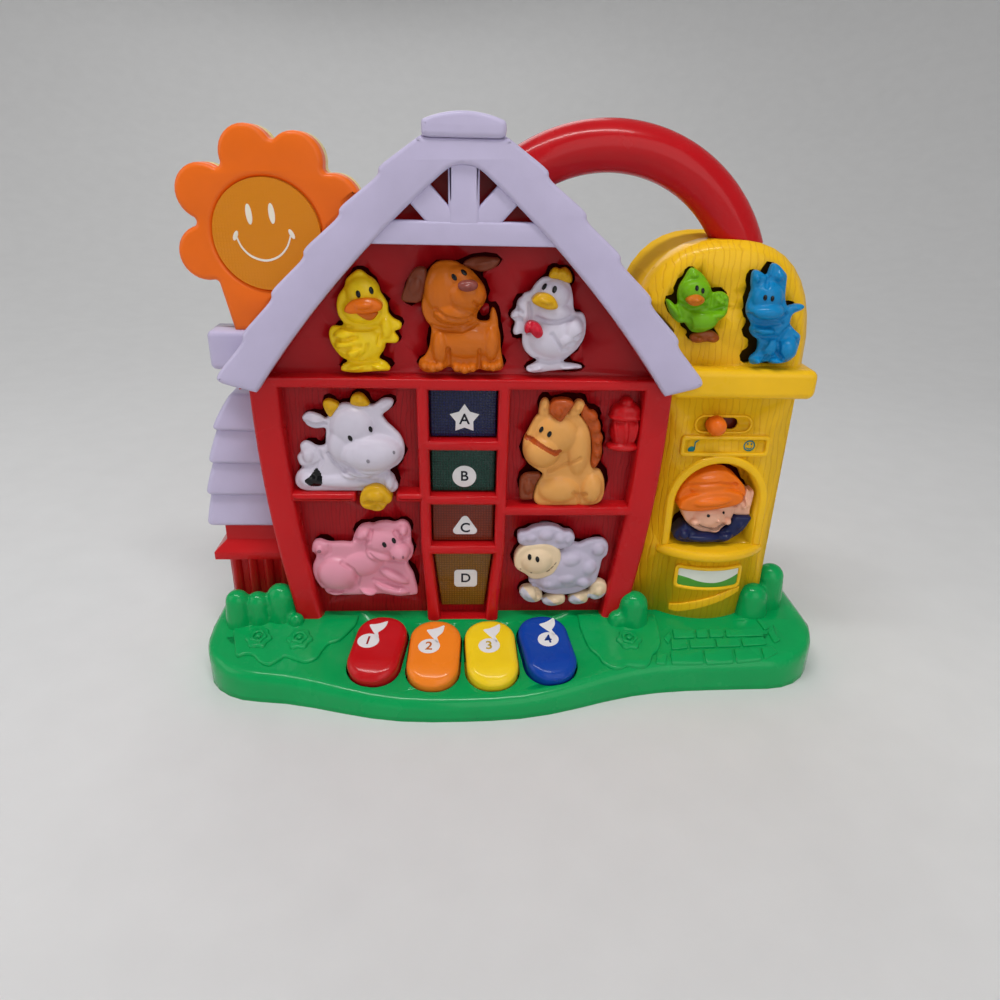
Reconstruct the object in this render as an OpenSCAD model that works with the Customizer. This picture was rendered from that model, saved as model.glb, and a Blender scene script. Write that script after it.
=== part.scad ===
// Talking farm playset: a barn front with push-button animals, a silo with a
// farmer at its window, a sun lamp, a carry handle and a green base with four keys.
// X runs to the right, Y to the back and Z up. The origin is on the ground under
// the middle of the base. Every front view profile is drawn in X and Z.

/* [Base] */
// Width of the base
base_w = 298; // [290:1:320]
// How far the base reaches behind the origin
base_back = 52; // [50:1:60]
// How far the base reaches in front of the origin at its sides
base_front = 46.5; // [45:0.5:50]
// Extra reach of the bulge under the keys
bulge = 18; // [17:0.5:22]
// Half width of that bulge
bulge_w = 67; // [64:1:74]
// Slant of the front edge, from left to right
base_skew = 0.02; // [0:0.005:0.03]
// Corner radius of the base seen from above
base_corner = 28; // [22:1:34]
// Height of the flat deck that the barn stands on
deck_z = 22; // [21:0.5:25]
// Height of the apron at its front edge
apron_z = 12; // [11.5:0.5:13]
// Depth of the sloping apron
apron_run = 39; // [38:0.5:44]
// Rounding of the upper edge of the base
base_edge = 6; // [4:0.5:7]
// Wall of the base shell
base_wall = 2.4; // [2:0.1:2.6]
// Thickness of the bottom pan
pan_t = 2; // [1.6:0.1:2.4]

/* [Keys] */
// Width of a piano key
key_w = 24; // [22:0.2:24.4]
// Length of a piano key
key_len = 38.5; // [36:0.5:39]
// Radius of a key's rounded ends
key_round = 11; // [8:0.5:11.5]
// Height of a key above the apron
key_rise = 4.6; // [4:0.2:6]
// Lift of a key's top towards its front end, in degrees
key_lift = 3.4; // [0:0.2:5]
// Depth of a key below the apron
key_drop = 4.4; // [4:0.1:4.6]
// Distance from the fan's centre to the keys' rear ends
key_fan_r = 232; // [225:1:245]
// Angle between two keys of the fan
key_fan_step = 6.1; // [6:0.05:6.3]
// Gap round a key
key_gap = 0.8; // [0.7:0.05:0.9]
// Radius of a key's hinge pin
pin_r = 1; // [0.8:0.1:1.3]
// Running clearance of the hinge pin
pin_play = 0.05; // [0.02:0.01:0.08]

/* [Barn] */
// Middle of the barn, left of the base's middle
barn_x = -26.5; // [-29:0.5:-25]
// Half width of the barn at the eaves
barn_top_hw = 91.5; // [90:0.5:94]
// Half width of the barn at the deck
barn_foot_hw = 80.5; // [79:0.5:83]
// Height of the eaves
eave_z = 139; // [138:0.5:141]
// Width of the side posts
post_w = 12.3; // [11:0.1:13]
// Distance of the posts' front plane from the origin plane
post_face = 17; // [16:0.5:18]
// Distance of the stall panel's front from the origin plane
panel_face = 8; // [7:0.5:9]
// Thickness of panels that carry buttons
panel_t = 2.5; // [2:0.1:3]
// Wall of the housings
wall = 2.4; // [2:0.1:2.8]
// Plane where front and rear housings meet
part_y = 8; // [8:0.5:10]
// Rear face of the housings
rear_y = 44; // [43:0.5:48]
// Thickness of the shelves
shelf_t = 4.6; // [4:0.1:5]
// Top of the upper shelf
shelf_z = 144.2; // [143.5:0.1:146]
// Top of the left middle shelf
left_shelf_z = 90.8; // [89:0.1:91.5]
// Top of the right middle shelf
right_shelf_z = 83.8; // [82:0.1:84.5]
// Height of the barn floor above the deck
floor_h = 3; // [2:0.2:3.4]

/* [Roof] */
// Half width of the roof ridge
ridge_hw = 15.7; // [15:0.1:17]
// Height where the slopes leave the ridge
ridge_z = 238.4; // [237:0.2:241]
// How far the roof's feet reach past the barn's eaves
eave_over = 10; // [8.5:0.5:12]
// Height of the roof's feet
foot_z = 143.5; // [142:0.5:145]
// Swell of the slopes
roof_sag = 4.6; // [3:0.2:6]
// Width of the gable trim
trim_w = 15; // [13:0.5:16]
// Number of shingle courses on a slope
courses = 6; // [4:1:8]
// Height of a shingle's step
shingle = 2.2; // [1.5:0.1:2.6]
// Distance of the gable trim's front from the origin plane
trim_face = 24; // [23:0.5:26]
// How far the roof reaches past the rear face
roof_over = 4; // [2:0.5:6]
// Height of the ridge cap above the slopes
cap_h = 8; // [7:0.5:9]
// Underside of the truss's tie beam
tie_z = 199.5; // [198:0.5:202]
// Width of the truss timbers
timber = 8; // [7:0.5:9]

/* [Silo] */
// Distance of the silo's middle from the roof's right foot
silo_gap = 11; // [10:0.5:12]
// Half width of the silo
silo_hw = 37.5; // [37:0.5:39]
// Underside of the silo's ledge
ledge_z = 137; // [136:0.5:138]
// Height of the ledge
ledge_h = 12; // [11:0.5:12.5]
// Half width of the ledge
ledge_hw = 42; // [41:0.5:44]
// How far the ledge stands out in front of the silo
ledge_out = 8; // [6:0.5:9]
// Half width of the dome
dome_hw = 39.5; // [39:0.5:41]
// Height of the dome above the ledge
dome_h = 53; // [52.5:0.5:55]
// Distance of the farmer's window from the silo's middle
window_dx = 8.5; // [8:0.25:9]
// Half width of the farmer's window
window_hw = 20.5; // [20:0.25:21]
// Sill of the farmer's window
sill_z = 60.5; // [59.5:0.5:61.5]
// Depth of the window recess
recess = 10; // [9:0.5:11]
// How far the bay under the sill bulges forward
bay_out = 8; // [6:0.5:9]
// Half width of the bay
bay_hw = 22; // [20:0.5:23]
// Travel of the mode slider
slider_travel = 8; // [6:0.5:9]

/* [Handle] */
// Radius of the handle's centre line
handle_r = 64; // [62:0.5:66]
// Radius of the handle's grip
grip_r = 10.3; // [9:0.1:10.8]
// Distance of the handle's centre inwards from the roof's right foot
handle_in = 41; // [40:0.5:42]
// Height of the handle's centre
handle_z = 172.5; // [172:0.5:174]

/* [Sun] */
// Distance of the sun's middle inwards from the roof's left foot
sun_in = 21.5; // [20.5:0.5:22.5]
// Height of the sun's middle
sun_z = 202; // [201:0.5:203]
// Distance of a petal's middle from the sun's middle
petal_at = 29; // [28:0.5:30]
// Radius of a petal
petal_r = 11; // [10:0.5:12]
// Radius of the sun's lens
lens_r = 22; // [20:0.5:23]
// Thickness of the sun's front shell
sun_front_t = 8; // [7:0.5:9]
// Thickness of the sun's rear shell
sun_back_t = 6; // [5:0.5:8]

/* [Buttons] */
// Travel of a push button
press = 2.5; // [2:0.1:2.6]
// Gap round a button in its panel
button_gap = 0.7; // [0.5:0.05:0.8]
// How far a button's rim reaches past its cut-out
rim_over = 0.9; // [0.8:0.05:1]
// Thickness of a button's rim
rim_t = 1.5; // [1.2:0.1:1.6]
// Gap between a button's rim and the panel at rest
rest_gap = 0.3; // [0.2:0.05:0.4]
// Length of a button's stem
stem_len = 5.9; // [5.5:0.1:6.5]
// Radius of a button's stem
stem_r = 2.5; // [2:0.1:2.6]
// Thickness of a contact dome
dome_t = 0.8; // [0.6:0.05:1]
// Thickness of the circuit boards
board_t = 1.6; // [1.2:0.1:2]

/* [Fasteners] */
// Shank radius of the case screws
screw_r = 1.45; // [1.2:0.05:1.6]
// Head radius of the case screws
head_r = 2.8; // [2.5:0.1:3]
// Head height of the case screws
head_h = 2; // [1.6:0.1:2.4]
// Outer radius of a screw boss
boss_r = 4; // [3.8:0.1:4.4]
// Radial clearance of fixed pieces that fit into each other
fit = 0.3; // [0.2:0.05:0.4]

/* [Power] */
// Radius of a cell
cell_r = 7.1; // [6.9:0.1:7.2]
// Length of a cell with its cap
cell_len = 50.5; // [49:0.5:51]
// Radius of the speaker
speaker_r = 25; // [20:0.5:27]
// Depth of the speaker
speaker_d = 17; // [14:0.5:19]

/* [Hidden] */
$fn = 48;
eps = 0.01;
far = 400;

// Places that follow the barn and its roof
foot_hw = barn_top_hw + eave_over;
silo_x = barn_x + foot_hw + silo_gap;
window_x = silo_x + window_dx;
handle_dx = foot_hw - handle_in;
sun_x = barn_x - foot_hw + sun_in;
shed_x = barn_x - barn_top_hw - 14.5;

// Depths measured forward from the origin plane, for one button stack
panel_back = panel_face - panel_t;
rim_front = panel_back - rest_gap;
stem_front = rim_front - rim_t;
stem_end = stem_front - stem_len;
dome_front = stem_end - press - rest_gap;
board_front = dome_front - dome_t;
board_back = board_front - board_t;
recess_face = panel_face - recess;

// Colours of the mouldings
red = "#c4141c";
lavender = "#c9c2de";
yellow = "#f2c417";
green = "#12a150";
orange = "#f2701d";
steel = "#b9bcc0";
board_green = "#2f7d4f";

// Draws a front view profile, X right and Z up, as a solid from depth a back to depth b
module front(a, b) rotate([90, 0, 0]) translate([0, 0, b]) linear_extrude(a - b) children();

// A cylinder along Y from depth a back to depth b, at [x, z]
module rod(at, r, a, b) translate([at[0], -a, at[1]]) rotate([-90, 0, 0]) cylinder(r = r, h = a - b);

// Points of a list mirrored about X = m, in reverse order
function flip(p, m) = [for (i = [len(p) - 1:-1:0]) [2 * m - p[i][0], p[i][1]]];

// Base: stations along X, each a YZ section
function base_front_y(x) = -base_front + base_skew * x
    - bulge * exp(-pow(abs(x - barn_x) / bulge_w, 3));
function round_in(d, r) = d >= r ? 0 : r - sqrt(max(0, r * r - (r - d) * (r - d)));
apron_y = -post_face - 0.2;
apron_slope = (deck_z - apron_z) / apron_run;
function apron(y) = deck_z - apron_slope * max(0, apron_y - y);
function station_xs(w, r) = concat(
    [for (a = [0:15:90]) -w / 2 + r * (1 - cos(a))],
    [for (i = [1:17]) -w / 2 + r + (w - 2 * r) * i / 18],
    [for (a = [90:-15:0]) w / 2 - r * (1 - cos(a))]);
function section(x, t, low) =
    let (d = base_w / 2 - t - abs(x),
        yf = base_front_y(x) + t + round_in(d, base_corner - t),
        yb = base_back - t - round_in(d, base_corner - t),
        e = base_edge - t / 2,
        drop = t + round_in(d, e),
        ya = max(apron_y, yf + e + 0.5))
    concat([[yb, low]],
        [for (a = [0:30:90]) [yb - e + e * cos(a), deck_z - drop - e + e * sin(a)]],
        [[ya, deck_z - drop]],
        [for (a = [90:-18:0]) [yf + e - e * cos(a), apron(yf + e) - drop - e + e * sin(a)]],
        [[yf, low]]);
function loft_faces(n, k) = concat(
    [for (i = [0:n - 2]) for (j = [0:k - 1]) let (a = i * k + j, b = i * k + (j + 1) % k)
        each [[a, b + k, b], [a, a + k, b + k]]],
    [[for (j = [0:k - 1]) j]],
    [[for (j = [k - 1:-1:0]) (n - 1) * k + j]]);
module base_loft(t, low) {
    xs = station_xs(base_w - 2 * t, base_corner - t);
    rings = [for (x = xs) section(x, t, low)];
    k = len(rings[0]);
    points = [for (i = [0:len(xs) - 1]) for (p = rings[i]) [xs[i], p[0], p[1]]];
    polyhedron(points, loft_faces(len(xs), k));
}
module base_outline(t) {
    xs = station_xs(base_w - 2 * t, base_corner - t);
    ends = [for (x = xs) section(x, t, 0)];
    polygon(concat(
        [for (i = [0:len(xs) - 1]) [xs[i], ends[i][len(ends[i]) - 1][0]]],
        [for (i = [len(xs) - 1:-1:0]) [xs[i], ends[i][0][0]]]));
}

// Keys: a fan about a point behind the barn
key_back_gap = 3.5;
fan_y = apron_y - key_back_gap + key_fan_r;
key_tilt = atan(apron_slope);
hinge_back = 2.6;
hinge_drop = 6;
lug_hw = 4;
lug_top = base_wall + 1.6;
ear_t = 2.6;
key_soft = 1.6;
tab_len = 8;
tab_over = 0.3;
tab_gap = rest_gap + 0.4;
function fan_angle(i) = (1.5 - i) * key_fan_step;
function fan_x(i) = barn_x - key_fan_r * sin(fan_angle(i));
function fan_rear_y(i) = fan_y - key_fan_r * cos(fan_angle(i));
module at_key(i) translate([fan_x(i), fan_rear_y(i), apron(fan_rear_y(i))])
    rotate([0, 0, -fan_angle(i)]) rotate([key_tilt, 0, 0]) children();
module key_plan(grow) translate([0, -key_len / 2])
    for (sx = [-1, 1]) for (sy = [-1, 1]) {
        r = key_round + grow;
        translate([sx * (key_w / 2 - key_round), sy * (key_len / 2 - key_round)]) circle(r);
        square([key_w - 2 * key_round, key_len + 2 * grow], center = true);
        square([key_w + 2 * grow, key_len - 2 * key_round], center = true);
    }
// The key's outline cut off below its lifted top
module key_slab(grow, below) intersection() {
    translate([0, 0, -key_drop]) linear_extrude(key_drop + 2 * key_rise + key_soft) key_plan(grow);
    rotate([-key_lift, 0, 0]) translate([-key_len, -2 * key_len, -key_len])
        cube([2 * key_len, 3 * key_len, key_len + key_rise - below]);
}
module key_body() {
    key_slab(0, key_soft);
    key_slab(-key_soft * 0.3, key_soft * 0.4);
    key_slab(-key_soft * 0.9, 0);
    tab_hw = key_w / 2 + key_gap + tab_over;
    translate([-tab_hw, -key_len + key_round, -key_drop])
        cube([2 * tab_hw, tab_len, key_drop - base_wall - tab_gap]);
    difference() {
        translate([-lug_hw, -key_round, -hinge_drop - 2.4])
            cube([2 * lug_hw, key_round + hinge_back + 2.6, hinge_drop + 2.4 - lug_top]);
        translate([-lug_hw - 1, hinge_back, -hinge_drop]) rotate([0, 90, 0])
            cylinder(r = pin_r + pin_play, h = 2 * lug_hw + 2);
    }
}
module hinge_ears() for (s = [-1, 1])
    translate([s * (lug_hw + fit + ear_t / 2) - ear_t / 2, hinge_back - 2.6, -hinge_drop - 2.6])
        cube([ear_t, 5.2, hinge_drop + 2.6 - base_wall + 0.8]);
module hinge_hole(r, hw) translate([-hw, hinge_back, -hinge_drop]) rotate([0, 90, 0])
    cylinder(r = r, h = 2 * hw);
pin_hw = lug_hw + fit + ear_t;

// Bushes moulded on the deck: [x, y, top, radius]
left_end = -base_w / 2;
barn_right = barn_x + barn_foot_hw;
silo_right = silo_x + silo_hw;
bushes = [[left_end + 16, -24.5, 38.5, 6.4], [left_end + 26.5, -25, 37, 6], [left_end + 37, -24.5, 39.5, 6.4],
    [left_end + 44, -25.5, 28, 4.6], [barn_right + 1.5, -24.5, 34.5, 6.6], [barn_right - 6.5, -25, 28.5, 4.8],
    [barn_right + 9, -24, 27.5, 4.2], [silo_right + 6.3, -14.5, 45, 6.5], [silo_right - 5, -23.5, 38, 6.6]];
module bush(b) translate([b[0], b[1], deck_z - base_wall]) {
    cylinder(r = b[3], h = b[2] - b[3] - deck_z + base_wall);
    translate([0, 0, b[2] - b[3] - deck_z + base_wall]) sphere(b[3]);
}
base_bosses = [[-126, -8], [126, -4], [-128, 34], [128, 34], [-40, 38], [60, 38]];

module base_shell() color(green) difference() {
    union() {
        difference() {
            base_loft(0, pan_t);
            base_loft(base_wall, pan_t - 1);
        }
        for (b = bushes) bush(b);
        for (p = base_bosses) translate([p[0], p[1], pan_t])
            cylinder(r = boss_r, h = deck_z - pan_t - 1);
        for (i = [0:3]) at_key(i) hinge_ears();
    }
    for (i = [0:3]) at_key(i) {
        translate([0, 0, -key_drop - 2]) linear_extrude(key_drop + 3 * key_rise) key_plan(key_gap);
        hinge_hole(pin_r, pin_hw + 1);
    }
    for (p = base_bosses) translate([p[0], p[1], pan_t - 1]) cylinder(r = screw_r + 0.05, h = 13);
}
module base_pan() color(green) difference() {
    linear_extrude(pan_t) base_outline(0);
    for (p = base_bosses) translate([p[0], p[1], -1]) {
        cylinder(r = screw_r + fit, h = pan_t + 2);
        cylinder(r = head_r + fit, h = 1 + pan_t / 2);
    }
}
module base_screws() color(steel) for (p = base_bosses) translate([p[0], p[1], 0]) {
    cylinder(r = screw_r, h = pan_t + 9);
    cylinder(r = head_r, h = pan_t / 2);
}
module key_pins() color(steel) for (i = [0:3]) at_key(i) hinge_hole(pin_r, pin_hw);
board_y = -48;
key_board_hw = 52;
key_board_d = 12;
module key_board() color(board_green) translate([barn_x - key_board_hw, board_y - key_board_d / 2, pan_t])
    cube([2 * key_board_hw, key_board_d, board_t]);
module key_red() color(red) at_key(0) key_body();
module key_orange() color(orange) at_key(1) key_body();
module key_yellow() color(yellow) at_key(2) key_body();
module key_blue() color("#1f4fb5") at_key(3) key_body();

// Barn outline: bowed sides, and a gable that follows the roof
function barn_hw(z) = let (t = (z - deck_z) / (eave_z - deck_z))
    barn_foot_hw + (barn_top_hw - barn_foot_hw) * (1 - (1 - t) * (1 - t));
// A point on the roof's right slope, t from ridge to foot, moved in by d
function slope_n() = let (dx = foot_hw - ridge_hw, dz = ridge_z - foot_z, n = sqrt(dx * dx + dz * dz))
    [dz / n, dx / n];
function roof_at(t, d) = let (n = slope_n(), s = 4 * roof_sag * t * (1 - t) - d)
    [barn_x + ridge_hw + (foot_hw - ridge_hw) * t + n[0] * s,
        ridge_z + (foot_z - ridge_z) * t + n[1] * s];
function course_edge(i) = [roof_at(i / courses, 0), roof_at((i + 0.5) / courses, -shingle / 2),
    roof_at((i + 0.92) / courses, -shingle)];
function slope_line(d) = [for (i = [0:8]) roof_at(i / 8, d)];
trim_back = trim_w / 2;
module mirrored(half) polygon(concat(half, flip(half, barn_x)));
side_zs = [for (i = [0:9]) deck_z + (eave_z - deck_z) * i / 9];
module barn_outline() mirrored(concat([for (z = side_zs) [barn_x + barn_hw(z), z]],
    [for (i = [8:-1:0]) roof_at(i / 8, trim_back)]));
module roof_outline() mirrored(concat([[barn_x + foot_hw - trim_w, foot_z - 4]],
    [roof_at(1, 0)], [for (i = [courses - 1:-1:0]) for (j = [2:-1:0]) course_edge(i)[j]]));
module gable_opening() mirrored(concat([[barn_x + foot_hw - trim_w - 0.6, foot_z - 4 - eps]],
    [for (i = [8:-1:0]) roof_at(i / 8, trim_w)]));

// Stall openings in the barn's front frame
column_top_hw = 20.5;
column_foot_hw = 17;
bend_z = 60;
window_top_hw = 15.3;
window_foot_hw = 10.5;
function column_hw(z) = z > bend_z ? column_top_hw - 0.7 * (eave_z - z) / (eave_z - bend_z)
    : column_foot_hw + (column_top_hw - 0.7 - column_foot_hw) * (z - deck_z) / (bend_z - deck_z);
function pane_hw(z) = z > bend_z ? window_top_hw - 0.5 * (eave_z - z) / (eave_z - bend_z)
    : window_foot_hw + (window_top_hw - 0.5 - window_foot_hw) * (z - deck_z) / (bend_z - deck_z);
function steps(a, b) = [for (i = [0:6]) a + (b - a) * i / 6];
module stall(s, z0, z1) polygon(concat(
    [for (z = steps(z0, z1)) [barn_x + s * (barn_hw(z) - post_w), z]],
    [for (z = steps(z1, z0)) [barn_x + s * column_hw(z), z]]));
module pane(z0, z1, grow) polygon([
    for (q = [[-1, z0 - grow], [1, z0 - grow], [1, z1 + grow], [-1, z1 + grow]])
        [barn_x + q[0] * (pane_hw(q[1]) + grow), q[1]]]);
bar_t = 4.6;
pane_a_z = eave_z - 23;
pane_b_z = pane_a_z - 26.8;
pane_c_z = pane_b_z - 25.9;
pane_d_z = deck_z + floor_h + 2;
pane_zs = [[pane_a_z, eave_z], [pane_b_z, pane_a_z - bar_t], [pane_c_z, pane_b_z - bar_t],
    [pane_d_z, pane_c_z - bar_t]];
module upper_opening() intersection() {
    gable_opening();
    translate([barn_x - far / 2, shelf_z]) square([far, far]);
}
module frame_openings() {
    upper_opening();
    stall(-1, left_shelf_z, shelf_z - shelf_t);
    stall(-1, deck_z + floor_h, left_shelf_z - shelf_t);
    stall(1, right_shelf_z, shelf_z - shelf_t);
    stall(1, deck_z + floor_h, right_shelf_z - shelf_t);
    for (p = pane_zs) pane(p[0], p[1], 0);
}

// Animals and farmer: rounded forms [x, z, half width, half height, turn, rise], from each
// one's own foot point
duck = [[-3, 14.4, 11.2, 8.6, 0, 8], [0, 28.6, 9.8, 7, 0, 9], [-0.7, 36, 7, 7.4, 0, 8],
    [-1, 42.4, 3.4, 2.2, 0, 4], [2, 30.8, 8.2, 3.2, 8, 13], [3, 25.8, 4, 2.8, 0, 11],
    [-9.4, 16.4, 4.2, 6, 0, 9.5], [9, 21, 4, 6.4, 0, 7], [12.7, 22.6, 3, 2.2, 0, 6],
    [11.6, 16.1, 2.8, 2, 0, 6], [-5.2, 3.7, 6.2, 2.4, 0, 8], [5.4, 4.7, 5.6, 2.6, 0, 8]];
dog = [[-7.7, 35.8, 9.2, 12.2, 0, 9], [-0.6, 42, 6.6, 5.8, -20, 9], [2.1, 35.9, 8.8, 7.6, 0, 12],
    [-3.1, 26.7, 9.9, 5.7, 0, 10], [-19.4, 37, 4.1, 7.6, -25, 7], [7.1, 47.4, 8.6, 3.2, 8, 6],
    [2.6, 39.2, 4.3, 2.1, 0, 13.5], [2.2, 15.8, 14.4, 9, 0, 8], [-9.5, 14.6, 5.3, 9.1, 0, 9],
    [12.2, 16.4, 5, 9.6, 0, 8.5], [13.8, 26.4, 1.8, 4.8, 8, 5],
    [-13.3, 5.4, 5.8, 3.4, 0, 9], [1.1, 5, 5.4, 3.4, 0, 9],
    [13.3, 6.2, 5.2, 3.6, 0, 9]];
rooster = [[-0.4, 35.7, 7.2, 8.1, 0, 9], [0.8, 28.5, 8.4, 5.6, 0, 8], [0.1, 44.6, 2.6, 2.4, 0, 5],
    [4.2, 43.6, 3.2, 2.8, 0, 5], [6.4, 41.5, 1.9, 3, 0, 5], [-3.4, 33.4, 6.2, 3.4, -14, 12.5],
    [1.1, 17.7, 13, 10.8, 0, 8.5], [-12.3, 28, 4, 7, 10, 6], [-15.6, 26.8, 2.4, 2, 0, 5],
    [-13.8, 20.4, 2.8, 4, -20, 5], [10.2, 20.2, 4.3, 8.4, 0, 9.5], [-6.2, 21.6, 3, 3.6, 0, 11],
    [-0.3, 7.3, 6, 2.6, 0, 6], [-5.8, 3.9, 4.6, 2.5, 0, 7], [9, 4.1, 6, 2, 0, 7]];
cow = [[-0.8, 30, 11.6, 12, 0, 9], [6.6, 18.2, 16, 11.6, 0, 12.5], [-7.3, 20, 7, 9, 0, 9],
    [-9.9, 39.5, 2.9, 4.2, 20, 6], [3.2, 42.4, 4, 3.6, 0, 6], [-16.4, 33, 5.8, 3.4, -8, 7],
    [14, 40, 5, 2.7, 36, 6], [-4.4, 4.8, 21, 5.4, 0, 8], [-19.5, 16.4, 4.6, 6.8, 0, 7],
    [-20.8, 5.6, 6, 6, 0, 8], [14.3, 4, 4.6, 6.2, 0, 7.5], [9, -0.6, 7, 5.6, 0, 11],
    [9.2, -6, 4.6, 2.4, 0, 9], [-12.6, 12.4, 5.6, 4.4, 0, 7]];
horse = [[-5.7, 35, 11.6, 11.2, 0, 9], [-12.4, 26.8, 10, 9.6, 0, 12], [4.4, 27.6, 7.6, 15.4, 0, 8],
    [1.1, 9.8, 16.6, 9, 0, 8.5], [12.6, 10.4, 6.4, 9.4, 0, 9.5], [-12.2, 48, 2.7, 4.4, 0, 6],
    [3, 48, 3.2, 4.2, -20, 6], [-6, 46, 4.8, 5.2, 0, 8], [-1.4, 49.6, 6, 2.6, 0, 5],
    [8.4, 42.8, 4.8, 4.4, 0, 7], [10.8, 37, 3.6, 4, 0, 7], [12.6, 31, 3.4, 4.4, 0, 7],
    [12.4, 24, 3.2, 4.8, 0, 7], [-18.4, 10, 4.3, 7, 0, 7]];
pig = [[-17.2, 14.6, 8.6, 11, 0, 9], [-5.8, 15.4, 15.6, 12, 0, 8], [-12.2, 13, 7.6, 9.2, 0, 11],
    [7.4, 31.6, 10.8, 10, 0, 9.5], [15.4, 26, 6.9, 6.4, 0, 12.5], [4, 24.4, 8.4, 6, 0, 10],
    [-1.3, 35.2, 5.2, 4.6, 35, 8], [17.6, 37.2, 3.6, 4.3, 0, 8], [18.2, 9.4, 5.2, 9, 8, 8],
    [9, 5.6, 7, 4, -20, 10], [13.8, 2.2, 3.2, 2.2, 0, 10], [-0.5, 3.8, 4, 3.2, 0, 10],
    [-16, 3.2, 5.8, 2.7, 0, 8], [-20.8, 27, 4.6, 5, 0, 7], [12, 15.6, 5.6, 7.6, 0, 7.5]];
sheep = [[-11.6, 25.6, 10, 8.8, 0, 11.5], [-7.1, 29.6, 9.6, 6.8, 0, 10], [-12.4, 38.6, 4.6, 3.8, 0, 9],
    [-5.2, 40, 5.4, 4, 0, 9], [0.2, 38.2, 4, 4.4, 0, 9], [-17.2, 37.2, 3, 3.4, 0, 7],
    [4.4, 36.4, 3.6, 4.6, 0, 8], [6.2, 21.4, 15.2, 13.2, 0, 9.5], [-0.8, 15.2, 11.4, 8, 0, 9],
    [15.6, 25, 6, 9.4, 0, 9], [19.6, 31, 4.2, 5.6, 0, 8], [-12, 6.8, 5.6, 4.8, 0, 9],
    [-1.6, 4.2, 5.4, 3.8, 0, 9], [10.2, 5, 5, 3.8, 0, 9], [18.6, 9.2, 5.2, 5.4, 0, 9]];
bird = [[-3.1, 30.6, 8, 6.6, 0, 9], [-4, 37.2, 2.8, 3.2, 0, 6], [2.4, 18.7, 9, 7, 0, 8.5],
    [-9.4, 22, 7, 3, -42, 6], [9, 26, 4.2, 4.8, 0, 6], [8.8, 21.3, 4.8, 2.6, 10, 7],
    [7.6, 25, 4.4, 4.2, 0, 6], [5, 10, 6.6, 2.9, 0, 7], [-2.9, 27.6, 3.9, 2.6, 0, 12]];
cat = [[-1.9, 28.1, 9.6, 8.2, 0, 9.5], [-2.3, 22.6, 8.4, 4.2, 0, 12], [-8.4, 36, 3.1, 4, 10, 6],
    [-0.1, 37, 3.7, 5.2, -8, 6.5], [-0.9, 14.2, 8, 4, 0, 9.5], [2.3, 8.6, 5.8, 6.6, 0, 8],
    [9.8, 8, 6.2, 7, 0, 9], [-3.2, 2.8, 4.4, 2.8, 0, 9], [5.7, 2.4, 5, 2.6, 0, 9.5],
    [10.6, 24, 3.8, 2.1, 12, 5], [9, 19.4, 2.5, 4.2, 10, 5], [12, 14, 2.6, 3.8, 25, 5]];
farmer = [[0, 29.4, 14.4, 9, 0, 10], [-3.6, 21.4, 15, 4.8, 5, 14], [-1.8, 14, 11.6, 8.4, 0, 11],
    [14.2, 22.6, 3.6, 6.4, -6, 8], [12.6, 9.4, 4.4, 8, -22, 8], [-2.6, 5.4, 14.6, 5.2, 0, 9],
    [-1.4, 14.4, 2, 1.7, 0, 12.5], [-11.6, 7, 4.6, 4.8, 0, 8]];

// Foot points of the buttons, and where their stems press, as [x, z]
duck_at = [barn_x - 41.5, shelf_z];
dog_at = [barn_x - 0.5, shelf_z];
rooster_at = [barn_x + 37.5, shelf_z];
cow_at = [barn_x - 48.5, left_shelf_z];
horse_at = [barn_x + 48.5, right_shelf_z];
pig_at = [barn_x - 45.5, deck_z + floor_h + 8];
sheep_at = [barn_x + 45.2, deck_z + floor_h + 3.5];
bird_at = [silo_x - 14, ledge_z + ledge_h + 3];
cat_at = [silo_x + 15, ledge_z + ledge_h + 2.3];
farmer_at = [window_x - 0.2, sill_z + 0.8];
duck_stem = duck_at + [-2, 20];
dog_stem = dog_at + [0, 22];
rooster_stem = rooster_at + [1, 24];
cow_stem = cow_at + [0, 20];
horse_stem = horse_at + [0, 22];
pig_stem = pig_at + [-4, 18];
sheep_stem = sheep_at + [2, 20];
bird_stem = bird_at + [1, 20];
cat_stem = cat_at + [0, 16];
farmer_stem = farmer_at + [-1, 16];
barn_stems = [duck_stem, dog_stem, rooster_stem, cow_stem, horse_stem, pig_stem, sheep_stem];
sides = 10;

// Narrow gaps up to twice this width are closed in a button's outline
close_gap = 1.5;
module ellipse(f) translate([f[0], f[1]]) rotate(f[4]) scale([f[2], f[3]]) circle(1, $fn = sides);
module shape_outline(forms, at, grow) translate(at)
    offset(r = -close_gap, $fn = 16) offset(delta = grow + close_gap) for (f = forms) ellipse(f);
// One rounded form: a wall through the panel, then a dome that rises in front of it
function swell_ring(f, at, depth, k) = [for (i = [0:sides - 1])
    let (a = 360 * i / sides, u = f[2] * k * cos(a), v = f[3] * k * sin(a))
        [at[0] + f[0] + u * cos(f[4]) - v * sin(f[4]), -depth, at[1] + f[1] + u * sin(f[4]) + v * cos(f[4])]];
module swell(f, at, face) hull() polyhedron(concat(
        swell_ring(f, at, face - panel_t - rest_gap - rim_t / 2, 1), swell_ring(f, at, face, 1),
        swell_ring(f, at, face + f[5] * sin(45), cos(45)), swell_ring(f, at, face + f[5] * sin(73), cos(73))),
    loft_faces(4, sides));
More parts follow.
